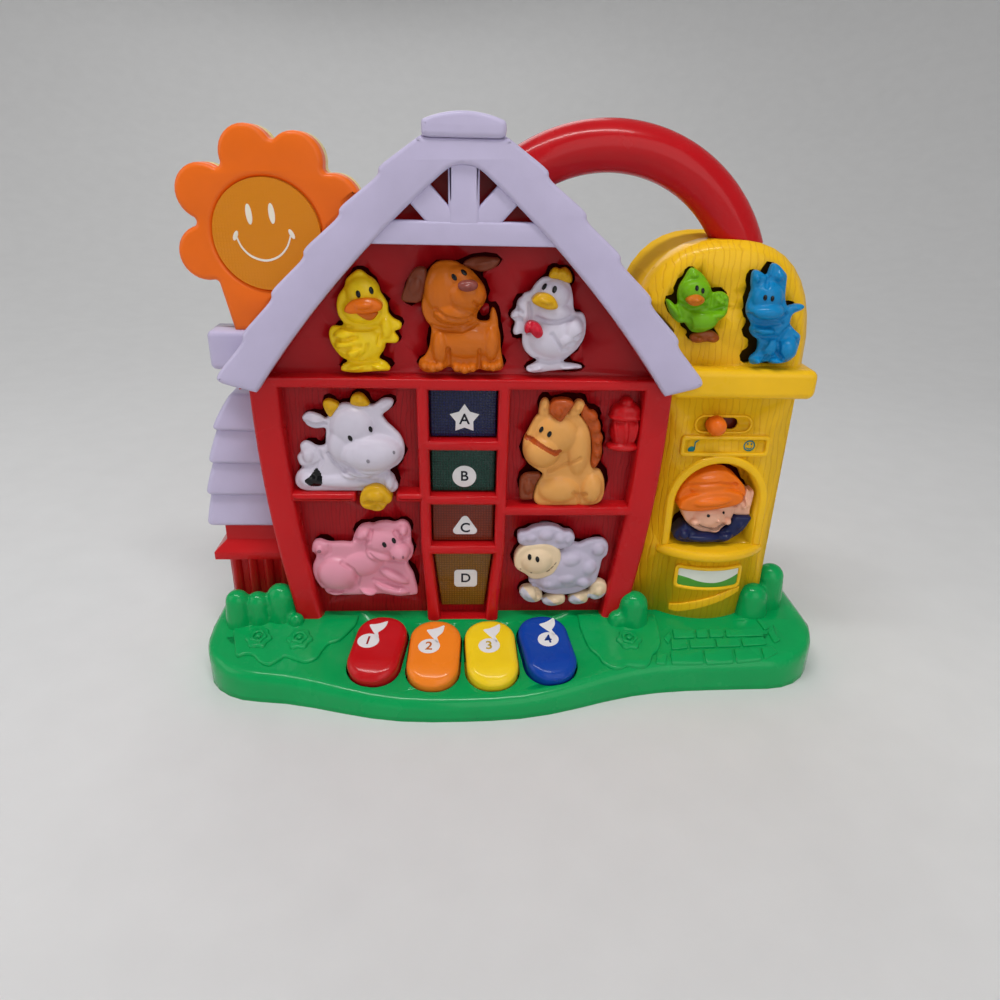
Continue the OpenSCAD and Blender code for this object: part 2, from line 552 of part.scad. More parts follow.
// A push button: swellings that pass through the panel, a rim behind it and a stem
module figure_button(forms, at, stem, face) {
    rim = face - panel_t - rest_gap;
    for (f = forms) swell(f, at, face);
    front(rim, rim - rim_t) shape_outline(forms, at, button_gap + rim_over);
    rod(stem, stem_r, rim - rim_t / 2, rim - rim_t - stem_len, $fn = 16);
}
module duck_button() color("#f4d416") figure_button(duck, duck_at, duck_stem, panel_face);
module dog_button() color("#c8681e") figure_button(dog, dog_at, dog_stem, panel_face);
module rooster_button() color("#e4e0ee") figure_button(rooster, rooster_at, rooster_stem, panel_face);
module cow_button() color("#e4e0ee") figure_button(cow, cow_at, cow_stem, panel_face);
module horse_button() color("#dba45c") figure_button(horse, horse_at, horse_stem, panel_face);
module pig_button() color("#f09ab0") figure_button(pig, pig_at, pig_stem, panel_face);
module sheep_button() color("#d6d2ea") figure_button(sheep, sheep_at, sheep_stem, panel_face);
// Trims the rims of the dome's buttons clear of its wall
module dome_wall_cut() front(panel_back - rest_gap / 2, stem_end - 1) difference() {
    offset(delta = far / 8) silo_outline();
    offset(delta = -fit) front_hollow();
}
module bird_button() color("#7fcf24") difference() {
    figure_button(bird, bird_at, bird_stem, panel_face);
    dome_wall_cut();
}
module cat_button() color("#1a90d8") difference() {
    figure_button(cat, cat_at, cat_stem, panel_face);
    dome_wall_cut();
}
module farmer_button() color("#f08a24") figure_button(farmer, farmer_at, farmer_stem, recess_face);

// Light-up letter windows
window_face = 11.5;
function pane_stem(p) = [barn_x, p[0] + 5];
module window_button(p) {
    front(window_face, rim_front - eps) offset(delta = -0.5) pane(p[0], p[1], 0);
    front(rim_front, stem_front) pane(p[0], p[1], 0.6);
    rod(pane_stem(p), stem_r, stem_front + eps, stem_end);
}
module window_a() color("#26305c") window_button(pane_zs[0]);
module window_b() color("#0f5c46") window_button(pane_zs[1]);
module window_c() color("#b8401c") window_button(pane_zs[2]);
module window_d() color("#b08a1c") window_button(pane_zs[3]);

// Barn housings
module barn_cutouts(grow) {
    shape_outline(duck, duck_at, grow);
    shape_outline(dog, dog_at, grow);
    shape_outline(rooster, rooster_at, grow);
    shape_outline(cow, cow_at, grow);
    shape_outline(horse, horse_at, grow);
    shape_outline(pig, pig_at, grow);
    shape_outline(sheep, sheep_at, grow);
    for (p = pane_zs) pane(p[0], p[1], 0);
}
board_posts = [[barn_x - 18.9, 61.6], [barn_x + 19.6, 61.6], [barn_x - 18.9, 142.4], [barn_x + 19.6, 142.4]];
post_r = 2.1;
joint_depth = -12;
column_in = 9.5;
foot_column_in = 5;
barn_columns = [[barn_x - barn_top_hw + column_in, 122], [barn_x + barn_top_hw - column_in, 122],
    [barn_x - barn_foot_hw + foot_column_in, 30], [barn_x + barn_foot_hw - foot_column_in, 30],
    [barn_x - 30, 196], [barn_x + 22, 205]];
lantern_at = [barn_x + barn_top_hw - post_w - 6.2, 112];
lantern_hw = 6.5;
lantern_out = 5;
module lantern() {
    rod(lantern_at + [0, 20], lantern_hw / 2, panel_face + lantern_out - 1, panel_face - 1);
    front(panel_face + lantern_out, panel_face - 1)
        translate(lantern_at + [-lantern_hw, 14.5]) square([2 * lantern_hw, 4]);
    front(panel_face + lantern_out - 1, panel_face - 1)
        translate(lantern_at + [1 - lantern_hw, 1]) square([2 * lantern_hw - 2, 14]);
    front(panel_face + lantern_out, panel_face - 1)
        translate(lantern_at + [-lantern_hw, -2]) square([2 * lantern_hw, 3.5]);
}
module barn_front() color(red) difference() {
    union() {
        front(post_face, panel_back) difference() {
            barn_outline();
            frame_openings();
        }
        front(panel_face, panel_back) barn_outline();
        front(panel_back + eps, -part_y) difference() {
            barn_outline();
            offset(delta = -wall) barn_outline();
        }
        for (p = board_posts) rod(p, post_r, panel_back + eps, board_front);
        for (p = barn_columns) rod(p, boss_r - 0.5, panel_back + eps, joint_depth);
        lantern();
    }
    front(post_face + 1, panel_back - 1) barn_cutouts(button_gap);
    for (p = barn_columns) rod(p, screw_r + 0.05, joint_depth + 11, joint_depth - 1);
}
speaker_at = [barn_x, 150];
bay_hw_in = 29;
bay_z0 = deck_z + 12;
bay_h = 48;
bay_floor = 26;
door_lip = 2.4;
door_t = 2;
door_screw_at = [barn_x, bay_z0 + bay_h + 7];
slot_n = 3;
slot_pitch = 6;
module bay(grow) translate([barn_x - bay_hw_in - grow, bay_z0 - grow])
    square([2 * (bay_hw_in + grow), bay_h + 2 * grow]);
module door_plan(gap) {
    offset(delta = -gap) bay(door_lip - 0.2);
    translate([barn_x, door_screw_at[1]]) circle(6.5 - gap);
    translate([barn_x - 6.5 + gap, bay_z0 + bay_h]) square([13 - 2 * gap, 7]);
}
module barn_rear() color(red) difference() {
    union() {
        front(-part_y, -rear_y) difference() {
            barn_outline();
            offset(delta = -wall) barn_outline();
        }
        front(-rear_y + wall, -rear_y) barn_outline();
        front(-bay_floor + 2, -rear_y) bay(door_lip);
        rod(door_screw_at, boss_r + 3.2, -bay_floor - 4, -rear_y);
        for (p = barn_columns) rod(p, boss_r, joint_depth, -rear_y);
        rod(speaker_at, speaker_r + 2.4, -rear_y + wall + 5, -rear_y + wall - eps);
    }
    front(-bay_floor, -rear_y - 1) bay(0);
    front(-rear_y + door_t, -rear_y - 1) door_plan(0);
    rod(door_screw_at, screw_r + 0.05, -bay_floor - 5, -rear_y);
    rod(speaker_at, speaker_r + fit, -rear_y + wall + 6, -rear_y + wall);
    for (i = [-slot_n:slot_n]) front(-rear_y + wall + 1, -rear_y - 1)
        translate([speaker_at[0] + i * slot_pitch, speaker_at[1]])
            square([2.4, 2 * sqrt(pow(speaker_r, 2) - pow(i * slot_pitch, 2)) - 10], center = true);
    for (p = barn_columns) {
        rod(p, screw_r + fit, joint_depth + 1, -rear_y - 1);
        rod(p, head_r + fit, joint_depth - 2, -rear_y - 1);
    }
}
module screw(at) {
    rod(at, screw_r, joint_depth + 10, joint_depth - 2 - eps);
    rod(at, head_r, joint_depth - 2, joint_depth - 2 - head_h);
}

// Silo outline: body, ledge and dome, cut where the barn and the roof stand
dome_power = 2.5;
dome_bevel = 4;
function dome_z(x) = ledge_z + ledge_h + dome_h * pow(1 - pow(abs(x) / dome_hw, dome_power), 1 / dome_power);
dome_xs = [for (a = [0:9:180]) -dome_hw * cos(a)];
module clear_of_barn() difference() {
    children();
    offset(delta = fit) barn_outline();
    offset(delta = fit) roof_outline();
}
module silo_body() translate([silo_x - silo_hw, deck_z]) square([2 * silo_hw, ledge_z - deck_z + 1]);
module silo_dome() polygon([for (x = dome_xs) [silo_x + x, x * x < dome_hw * dome_hw ? dome_z(x) : ledge_z]]);
module silo_ledge() translate([silo_x - ledge_hw, ledge_z]) square([2 * ledge_hw, ledge_h]);
module silo_outline() clear_of_barn() {
    silo_body();
    silo_dome();
}
module window_arch(grow) {
    spring = sill_z + window_hw + 2;
    translate([window_x - window_hw - grow, sill_z - grow])
        square([2 * (window_hw + grow), spring - sill_z + grow]);
    translate([window_x, spring]) circle(window_hw + grow);
}
silo_columns = [[silo_x + 30, 128], [silo_x + 30.5, 36], [silo_x - 13.8, 128], [silo_x - 20, 36]];
silo_posts = [[silo_x - 10.5, ledge_z + 18], [silo_x + 1.6, ledge_z + 28], [silo_x + 25.5, ledge_z + 45.5]];
farmer_post_z = sill_z + 19.5;
farmer_posts = [[window_x - window_hw - 5, farmer_post_z], [window_x + window_hw + 4.2, farmer_post_z]];
farmer_post_r = 1.8;
slider_at = [silo_x + 2.5, 122.2];
slider_slot = 5;
// Rounded bar outline between two ends
module bar_plan(a, b, r) hull() {
    translate(a) circle(r, $fn = 32);
    translate(b) circle(r, $fn = 32);
}
bay_r = (bay_hw * bay_hw + bay_out * bay_out) / (2 * bay_out);
module bulge_arc(z0, z1, out) intersection() {
    translate([window_x, bay_r - panel_face - bay_out, z0]) cylinder(r = bay_r + out, h = z1 - z0, $fn = 96);
    translate([window_x - bay_hw - out, -panel_face - 2 * bay_out, z0])
        cube([2 * (bay_hw + out), 2 * bay_out + 1, z1 - z0]);
}
plate_hw = 20.5;
plate_h = 9;
plate_z = 107.5;
module label_rim() difference() {
    translate([window_x - plate_hw, plate_z]) square([2 * plate_hw, plate_h]);
    translate([window_x - plate_hw + 1, plate_z + 1]) square([2 * plate_hw - 2, plate_h - 2]);
}
module handle_solid(r, a0, a1) translate([barn_x + handle_dx, part_y, handle_z]) rotate([90, 0, 0])
    rotate([0, 0, a0]) rotate_extrude(angle = a1 - a0) translate([handle_r, 0]) circle(r);
module bevelled_dome() difference() {
    hull() {
        front(panel_face - dome_bevel, -part_y) silo_dome();
        front(panel_face, panel_face - 1) offset(delta = -dome_bevel) silo_dome();
    }
    front(far, -far) offset(delta = fit) roof_outline();
    front(far, -far) offset(delta = fit) barn_outline();
}
// The hollow just behind the face keeps clear of the dome's bevel
module front_hollow() intersection() {
    offset(delta = -wall) silo_outline();
    union() {
        silo_body();
        offset(delta = -wall - dome_bevel / 2) silo_dome();
    }
}
module silo_front() color(yellow) difference() {
    union() {
        difference() {
            union() {
                front(panel_face, -part_y) clear_of_barn() silo_body();
                bevelled_dome();
                front(panel_face + ledge_out, -part_y) clear_of_barn() silo_ledge();
            }
            front(panel_back, panel_face - dome_bevel - eps) front_hollow();
            front(panel_face - dome_bevel, -part_y - 1) offset(delta = -wall) silo_outline();
        }
        bulge_arc(deck_z, sill_z - 4.5, 0);
        bulge_arc(sill_z - 4.5, sill_z, 3);
        front(panel_face + 1.5, panel_face - eps) difference() {
            window_arch(4);
            window_arch(0);
            translate([window_x - far / 2, sill_z - far]) square(far);
        }
        front(panel_face + 0.8, panel_face - eps) label_rim();
        front(panel_back + eps, recess_face - panel_t) window_arch(2);
        for (p = silo_posts) rod(p, post_r, panel_back + eps, board_front);
        for (p = farmer_posts) rod(p, farmer_post_r, panel_back + eps, board_front - recess);
        for (p = silo_columns) rod(p, boss_r - 0.5, panel_back + eps, joint_depth);
    }
    front(panel_face + 2, recess_face) window_arch(0);
    front(recess_face + 1, recess_face - panel_t - 1) shape_outline(farmer, farmer_at, button_gap);
    front(panel_face + 1, panel_back - 1) {
        shape_outline(bird, bird_at, button_gap);
        shape_outline(cat, cat_at, button_gap);
    }
    front(panel_face + 1, panel_face - 1)
        bar_plan(slider_at - [5, 0], slider_at + [slider_travel + 5, 0], 4.6);
    front(panel_face + 1, panel_back - 1)
        bar_plan(slider_at - [0.2, 0], slider_at + [slider_travel + 0.2, 0], slider_slot / 2 + fit);
    for (p = silo_columns) rod(p, screw_r + 0.05, joint_depth + 11, joint_depth - 1);
    handle_solid(grip_r + fit, dome_end - 1, roof_end + 1);
}
module silo_rear() color(yellow) difference() {
    union() {
        difference() {
            front(-part_y, -rear_y) silo_outline();
            front(-part_y + 1, -rear_y + wall) offset(delta = -wall) silo_outline();
        }
        difference() {
            front(-part_y, -rear_y - 2) clear_of_barn() silo_ledge();
            front(-part_y + 1, -rear_y + wall) offset(delta = -wall) silo_outline();
        }
        for (p = silo_columns) rod(p, boss_r, joint_depth, -rear_y);
    }
    for (p = silo_columns) {
        rod(p, screw_r + fit, joint_depth + 1, -rear_y - 1);
        rod(p, head_r + fit, joint_depth - 2, -rear_y - 1);
    }
    handle_solid(grip_r + fit, dome_end - 1, roof_end + 1);
}
module mode_knob() color(orange) {
    rod(slider_at, 4.3, panel_face + 6.5, panel_face - 0.6);
    rod(slider_at, slider_slot / 2, panel_face - 0.6 + eps, rim_front - eps);
    front(rim_front, stem_front) translate(slider_at - [4.2, 3.6]) square([8.4, 7.2]);
}
module mode_switch() color("#3a3d42") difference() {
    front(panel_back, stem_front - 4) translate(slider_at - [8, 5.6]) square([slider_travel + 16, 11.2]);
    front(panel_back + 1, stem_front - rest_gap)
        translate(slider_at - [4.2 + 1, 3.6 + fit]) square([slider_travel + 10.4, 7.2 + 2 * fit]);
}

// Handle halves, clamped between the front and rear housings
dome_end = 22.5;
roof_end = 124.5;
module handle_half(s) intersection() {
    handle_solid(grip_r, dome_end, roof_end);
    translate([barn_x, s < 0 ? part_y - far : part_y, 0]) cube(far);
}
module handle_front() color(red) handle_half(-1);
module handle_rear() color(red) handle_half(1);

// Roof: trim and truss in front, shingled slopes behind
king_hw = 6;
module truss() intersection() {
    union() {
        translate([barn_x - far / 2, tie_z]) square([far, timber]);
        translate([barn_x - king_hw, tie_z]) square([2 * king_hw, far]);
        for (s = [-1, 1]) polygon([for (q = [[king_hw - 1, 6], [king_hw - 1, 6 + timber * 1.4],
            [king_hw + 21, 6 + timber * 1.4 + 16], [king_hw + 21, 6 + 16]])
            [barn_x + s * q[0], tie_z + timber - 6 + q[1]]]);
    }
    gable_opening();
}
module ridge_cap(a, b) front(a, b) translate([barn_x, ridge_z - 1]) intersection() {
    translate([-ridge_hw, 0]) square([2 * ridge_hw, cap_h + 1]);
    translate([0, cap_h + 1 - 40]) circle(40);
}
block_z = sun_z - 42;
block_h = 16;
block_x = sun_x - 30;
sun_face = -part_y + sun_front_t;
tenon_hw = 4.5;
tenon_x = sun_x - 13.5;
tenon_z = 9;
tenon_d = 4;
module sun_block() translate([block_x, block_z - block_h]) square([sun_x - block_x + 4, block_h]);
module slopes() difference() {
    roof_outline();
    offset(delta = fit) barn_outline();
}
module tenon_socket() translate([tenon_x - tenon_hw - fit, -far / 2, block_z - tenon_z - fit])
    intersection() {
        cube([2 * (tenon_hw + fit), far, tenon_z + 1 + fit]);
        translate([0, far / 2 + part_y - tenon_d - fit, 0])
            cube([2 * (tenon_hw + fit), 2 * (tenon_d + fit), tenon_z + 2]);
    }
module roof_front() color(lavender) difference() {
    union() {
        front(trim_face, post_face + fit) difference() {
            roof_outline();
            gable_opening();
        }
        front(trim_face - 1.5, post_face + fit) truss();
        front(post_face + fit + eps, -part_y) slopes();
        ridge_cap(trim_face + 1, -part_y);
        front(sun_face + 2, -part_y) difference() {
            sun_block();
            offset(delta = fit) barn_outline();
        }
    }
    handle_solid(grip_r + fit, dome_end - 1, roof_end + 0.8);
    tenon_socket();
}
module roof_rear() color(lavender) difference() {
    union() {
        front(-part_y, -rear_y - roof_over) slopes();
        front(-rear_y - fit, -rear_y - roof_over) difference() {
            roof_outline();
            gable_opening();
        }
        ridge_cap(-part_y, -rear_y - roof_over - 1);
        front(-part_y, -part_y - sun_back_t - 2) difference() {
            sun_block();
            offset(delta = fit) barn_outline();
        }
    }
    handle_solid(grip_r + fit, dome_end - 1, roof_end + 0.8);
    tenon_socket();
}

// Sun: petals at their own angles, and a stem that tapers down to the block
petal_angles = [-48, -13, 22, 64, 103, 151.5, 200, 306];
petal_base = petal_at - 0.5;
petal_soft = 2;
lens_at = [sun_x - 1, sun_z - 2.2];
module sun_outline() {
    difference() {
        offset(r = -petal_soft) offset(delta = petal_soft) {
            for (a = petal_angles) translate([sun_x + petal_at * cos(a), sun_z + petal_at * sin(a)])
                circle(petal_r, $fn = 32);
            translate([sun_x, sun_z]) circle(petal_base, $fn = 64);
            polygon([[sun_x - 24, sun_z - 18], [sun_x + 10, sun_z - 18],
                [sun_x - 4, block_z], [sun_x - 19, block_z]]);
        }
        offset(delta = fit) roof_outline();
    }
}
module sun_tenon(a, b) front(a, b) translate([tenon_x - tenon_hw, block_z - tenon_z])
    square([2 * tenon_hw, tenon_z + 1]);
shell_t = 2;
module sun_front() color(orange) difference() {
    union() {
        difference() {
            front(sun_face, -part_y) sun_outline();
            front(sun_face - shell_t, -part_y - 1) offset(delta = -shell_t) sun_outline();
        }
        sun_tenon(tenon_d - part_y, -part_y);
    }
    rod(lens_at, lens_r + 0.2, sun_face + 1, sun_face - shell_t - 1);
}
module sun_rear() color("#f7e27a") union() {
    difference() {
        front(-part_y, -part_y - sun_back_t) sun_outline();
        front(-part_y + 1, -part_y - sun_back_t + shell_t) offset(delta = -shell_t) sun_outline();
    }
    sun_tenon(-part_y, -part_y - tenon_d);
}
lens_lip = 1.8;
lens_lip_t = 1.2;
module lens_plan(r, inset) intersection() {
    translate(lens_at) circle(r);
    offset(delta = -inset) sun_outline();
}
module sun_lens() color("#c9820f") {
    front(sun_face + 0.4, sun_face - shell_t) lens_plan(lens_r, 0);
    front(sun_face, sun_face - shell_t - lens_lip_t) lens_plan(lens_r, shell_t + fit);
    front(sun_face - shell_t - 0.1, sun_face - shell_t - lens_lip_t)
        lens_plan(lens_r + lens_lip, shell_t + fit);
}
led_r = 2.5;
module sun_led() color("#f6f0d0") rod(lens_at, led_r, -part_y + 2, -part_y - sun_back_t + shell_t);

// Shed beside the barn: four shingle courses over a boarded wall
shed_front = -4;
shed_back = 38;
shed_top = 129;
shed_pitch = 16.4;
shed_out = [10.5, 14.5, 17.8, 19.5];
shingle_foot = 1.6;
shingle_lap = 1;
shingle_in = 2.2;
shingle_set = 2.4;
module barn_side_cut() front(far / 2, -far / 2) offset(delta = fit) barn_outline();
module shed_course(i) {
    top = shed_top - i * shed_pitch;
    lap = i == 0 ? 0 : shingle_lap;
    inset_top = i == 0 ? 0 : shed_out[i - 1] - shingle_in;
    right = barn_x - barn_foot_hw + 6;
    hull() {
        translate([shed_x - inset_top, -shed_front + shingle_set, top + lap - eps])
            cube([right - shed_x + inset_top, shed_back - 3, eps]);
        translate([shed_x - shed_out[i], -shed_front, top - shed_pitch + shingle_foot])
            cube([right - shed_x + shed_out[i], shed_back + 1, eps]);
    }
    translate([shed_x - shed_out[i], -shed_front, top - shed_pitch])
        cube([right - shed_x + shed_out[i], shed_back + 1, shingle_foot + eps]);
}
shed_foot = shed_top - 4 * shed_pitch;
module shed_roof() color(lavender) difference() {
    for (i = [0:3]) shed_course(i);
    barn_side_cut();
}
ledge2_z = 46;
log_pitch = 8;
log_r = 2.6;
wall_x = shed_x - 11.5;
module shed_wall() color(red) difference() {
    union() {
        translate([wall_x, -shed_front + 3, deck_z]) cube([60, shed_back - 6, shed_foot - deck_z]);
        translate([wall_x - 5.5, -shed_front - 2, ledge2_z]) cube([60, shed_back + 4, 4]);
        hull() {
            translate([wall_x - 5.5, -shed_front - 2, ledge2_z + 4 - eps]) cube([60, shed_back + 4, eps]);
            translate([wall_x, -shed_front + 3, ledge2_z + 9]) cube([60, shed_back - 6, eps]);
        }
        for (i = [0:3]) translate([wall_x + 3 + log_pitch * i, -shed_front + 3, deck_z])
            cylinder(r = log_r, h = ledge2_z - deck_z + 1);
    }
    barn_side_cut();
}

// Circuit boards, contact domes and lamps
board_hw = barn_foot_hw - 14.5;
board_z = deck_z + 6;
loft_z = eave_z - 4;
loft_hw = 54;
loft_h = 42;
module button_board() color(board_green) difference() {
    front(board_front, board_back) {
        translate([barn_x - board_hw, board_z]) square([2 * board_hw, loft_z - board_z + 1]);
        translate([barn_x - loft_hw, loft_z]) square([2 * loft_hw, loft_h]);
    }
    for (p = board_posts) rod(p, screw_r, board_front + 1, board_back - 1);
}
module silo_board() color(board_green) front(board_front, board_back)
    polygon([for (q = [[-12, 15.5], [28.5, 15.5], [28.5, 48], [-20, 48], [-20, 29], [-12, 20]])
        [silo_x + q[0], ledge_z + q[1]]]);
board_edge = 1.6;
farmer_board_h = 16;
module farmer_board() color(board_green) front(board_front - recess, board_back - recess)
    translate([farmer_posts[0][0] - board_edge, farmer_posts[0][1] - farmer_board_h / 2])
        square([farmer_posts[1][0] - farmer_posts[0][0] + 2 * board_edge, farmer_board_h]);
pad_r = 3;
key_pitch = 28;
module contact_domes() color("#4a4d55") {
    for (p = concat(barn_stems, [for (q = pane_zs) pane_stem(q)], [bird_stem, cat_stem]))
        rod(p, pad_r, dome_front, board_front);
    rod(farmer_stem, pad_r, dome_front - recess, board_front - recess);
    for (i = [0:3]) translate([barn_x + (i - 1.5) * key_pitch, board_y, pan_t + board_t])
        cylinder(r = pad_r, h = dome_t);
}
module window_leds() color("#f3efe2") for (p = pane_zs)
    rod([barn_x, p[1] - 7], led_r, board_front + 5, board_front);

// Speaker, cells and battery door
module speaker() color("#2b2d30") {
    rod(speaker_at, speaker_r, -rear_y + wall + 3, -rear_y + wall);
    translate([speaker_at[0], rear_y - wall - 3 + eps, speaker_at[1]]) rotate([90, 0, 0])
        cylinder(r1 = speaker_r - 3, r2 = speaker_r - 10, h = speaker_d - 9);
    rod(speaker_at, speaker_r - 9, -rear_y + wall + speaker_d, -rear_y + wall + speaker_d - 7);
}
module speaker_ring() color(red) difference() {
    rod(speaker_at, speaker_r + 2.4, -rear_y + wall + 7, -rear_y + wall + 5);
    rod(speaker_at, speaker_r - 1.5, -rear_y + wall + 8, -rear_y + wall + 4);
}
cell_pitch = 15.6;
cell_zs = [for (i = [-1:1]) bay_z0 + bay_h / 2 + i * cell_pitch];
cell_y = bay_floor + cell_r + fit;
plate_t = 0.5;
cell_end = bay_hw_in - plate_t;
nub = 1;
contact_w = 11;
module cell(z, s) translate([barn_x, cell_y, z]) scale([s, s, s]) rotate([0, 90, 0]) {
    translate([0, 0, cell_end - cell_len]) cylinder(r = cell_r, h = cell_len - nub);
    translate([0, 0, cell_end - nub - eps]) cylinder(r = 2.7, h = nub);
}
module cells() color("#3d4650") {
    cell(cell_zs[0], 1);
    cell(cell_zs[1], -1);
    cell(cell_zs[2], 1);
}
module cell_contacts() color(steel) for (i = [0:2]) for (s = [-1, 1]) {
    translate([barn_x + s * (bay_hw_in - plate_t / 2), cell_y, cell_zs[i]])
        cube([plate_t, contact_w, contact_w], center = true);
    if (s == (i == 1 ? 1 : -1)) {
        gap = 2 * cell_end - cell_len - 0.2;
        translate([barn_x + s * (cell_end - gap / 2), cell_y, cell_zs[i]]) rotate([0, 90, 0])
            cylinder(r = 3, h = gap, center = true);
    }
}
module battery_door() color(red) difference() {
    front(-rear_y + door_t, -rear_y) door_plan(fit);
    rod(door_screw_at, screw_r + fit, -rear_y + door_t + 1, -rear_y - 1);
}
module door_screw() color(steel) {
    rod(door_screw_at, screw_r, -rear_y + 10, -rear_y - eps);
    rod(door_screw_at, head_r, -rear_y, -rear_y - head_h);
}
module case_screws() color(steel) for (p = concat(barn_columns, silo_columns)) screw(p);

base_shell();
base_pan();
base_screws();
key_pins();
key_board();
key_red();
key_orange();
key_yellow();
key_blue();
barn_front();
barn_rear();
roof_front();
roof_rear();
case_screws();
duck_button();
dog_button();
rooster_button();
cow_button();
horse_button();
pig_button();
sheep_button();
bird_button();
cat_button();
farmer_button();
window_a();
window_b();
window_c();
window_d();
button_board();
silo_board();
farmer_board();
contact_domes();
window_leds();
silo_front();
silo_rear();
mode_knob();
mode_switch();
handle_front();
handle_rear();
sun_front();
sun_rear();
sun_lens();
sun_led();
shed_roof();
shed_wall();
speaker();
speaker_ring();
battery_door();
door_screw();
cells();
cell_contacts();
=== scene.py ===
"""Finished looks of a talking farm playset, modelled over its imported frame."""

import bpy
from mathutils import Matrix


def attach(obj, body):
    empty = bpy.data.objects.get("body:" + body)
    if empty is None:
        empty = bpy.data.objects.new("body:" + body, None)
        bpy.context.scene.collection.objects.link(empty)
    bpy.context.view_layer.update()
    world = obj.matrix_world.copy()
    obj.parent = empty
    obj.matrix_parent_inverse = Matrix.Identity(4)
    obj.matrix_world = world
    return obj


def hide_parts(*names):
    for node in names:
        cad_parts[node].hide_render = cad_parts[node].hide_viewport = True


bl_info = {
    "name": "Talking farm playset",
    "version": (1, 0, 0),
    "blender": (4, 5, 0),
    "location": "3D View > Sidebar > Farm playset",
    "description": "Models the finished pieces of a talking farm playset over its packed frame",
    "category": "Object",
}

import math
from contextlib import contextmanager

import bmesh
import bpy
import numpy as np
from mathutils import Matrix, Vector

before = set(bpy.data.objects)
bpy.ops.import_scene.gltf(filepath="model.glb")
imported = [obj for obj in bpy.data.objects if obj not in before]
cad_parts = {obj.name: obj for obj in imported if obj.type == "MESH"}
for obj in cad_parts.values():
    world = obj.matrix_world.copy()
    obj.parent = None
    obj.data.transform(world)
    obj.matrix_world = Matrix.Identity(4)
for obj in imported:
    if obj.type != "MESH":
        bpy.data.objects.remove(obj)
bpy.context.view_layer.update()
MM = 0.001
HOUSING = "housing"
MERGE = 2e-6
BARN_X = -26.5
STALL_FACE = 8
DECK_Z = 22
APRON_Y = -17.2
APRON_SLOPE = 10 / 39


def tint(code):
    """Linear colour of a hex code."""
    parts = [int(code[i:i + 2], 16) / 255 for i in (1, 3, 5)]
    return tuple(p / 12.92 if p <= 0.04045 else ((p + 0.055) / 1.055) ** 2.4 for p in parts)


def colour_prop(name, code):
    return bpy.props.FloatVectorProperty(name=name, description="Colour of the " + name.lower(),
                                         subtype="COLOR", size=3, min=0, max=1, default=tint(code))


def length_prop(name, text, mm):
    return bpy.props.FloatProperty(name=name, description=text, default=mm * MM, min=0, unit="LENGTH")


def power_prop(name, text, watts):
    return bpy.props.FloatProperty(name=name, description=text, default=watts, min=0, unit="POWER")


class FarmColours(bpy.types.PropertyGroup):
    """Colours of the mouldings"""
    barn: colour_prop("Barn", "#c4141a")
    # the stall panel red is darker than the barn red: painted shade of the recessed stall, on the same
    # plastic
    panel: colour_prop("Stall panel", "#ab1019")
    roof: colour_prop("Roof", "#c6bddb")
    silo: colour_prop("Silo", "#fac31a")
    handle: colour_prop("Handle", "#c00f18")
    base: colour_prop("Base", "#04a456")
    petals: colour_prop("Sun petals", "#f4701a")
    sun_back: colour_prop("Sun rear", "#f3dc84")
    lens: colour_prop("Sun lens", "#e08c12")
    knob: colour_prop("Mode knob", "#f0721c")
    duck: colour_prop("Duck", "#f6d01c")
    beak: colour_prop("Duck beak", "#ee7416")
    dog: colour_prop("Dog", "#d06c18")
    dog_ears: colour_prop("Dog ears", "#7a3a24")
    dog_nose: colour_prop("Dog nose", "#8f4a42")
    white: colour_prop("White animals", "#d8d1e0")
    comb: colour_prop("Comb and horns", "#dda816")
    wattle: colour_prop("Wattle", "#cc1c34")
    horse: colour_prop("Horse", "#e6a458")
    mane: colour_prop("Horse mane", "#b4501e")
    tail: colour_prop("Horse tail", "#8a4326")
    pig: colour_prop("Pig", "#e59aae")
    fleece: colour_prop("Fleece", "#c4bcd0")
    face: colour_prop("Sheep face", "#ecd2ae")
    bird: colour_prop("Bird", "#74b414")
    bird_beak: colour_prop("Bird beak", "#d3761c")
    bird_feet: colour_prop("Bird feet", "#9c4c1c")
    cat: colour_prop("Cat", "#1186c2")
    skin: colour_prop("Farmer skin", "#eeb79b")
    cap: colour_prop("Farmer cap", "#ee7418")
    shirt: colour_prop("Farmer shirt", "#1b2450")


class FarmSizes(bpy.types.PropertyGroup):
    """Sizes of the fine forms"""
    voxel: length_prop("Figure grain", "Voxel size of the sculpted figures", 0.45)
    post_edge: length_prop("Post rounding", "Rounding of the barn's posts and shelves", 2.2)
    trim_edge: length_prop("Trim rounding", "Rounding of the roof trim", 1.8)
    eye_w: length_prop("Eye width", "Half width of an animal's eye", 0.95)
    eye_h: length_prop("Eye height", "Half height of an animal's eye", 1.5)
    groove: length_prop("Groove width", "Half width of a carved crease", 1.1)
    sticker: length_prop("Sticker", "Thickness of a printed sticker", 0.12)


class FarmStage(bpy.types.PropertyGroup):
    """Stage light"""
    floor: colour_prop("Floor", "#e2e2e2")
    key: power_prop("Key light", "Power of the main lamp", 5.4)
    fill: power_prop("Fill light", "Power of the fill lamp", 3)
    sky: bpy.props.FloatProperty(name="Sky", description="Strength of the even light", default=0.24, min=0)


def alone(obj):
    """Makes one object the only selected and active one."""
    bpy.ops.object.select_all(action="DESELECT")
    obj.select_set(True)
    bpy.context.view_layer.objects.active = obj


@contextmanager
def editing(obj):
    """Edit mode on the whole of one piece."""
    alone(obj)
    bpy.ops.object.mode_set(mode="EDIT")
    bpy.ops.mesh.select_all(action="SELECT")
    yield
    bpy.ops.object.mode_set(mode="OBJECT")


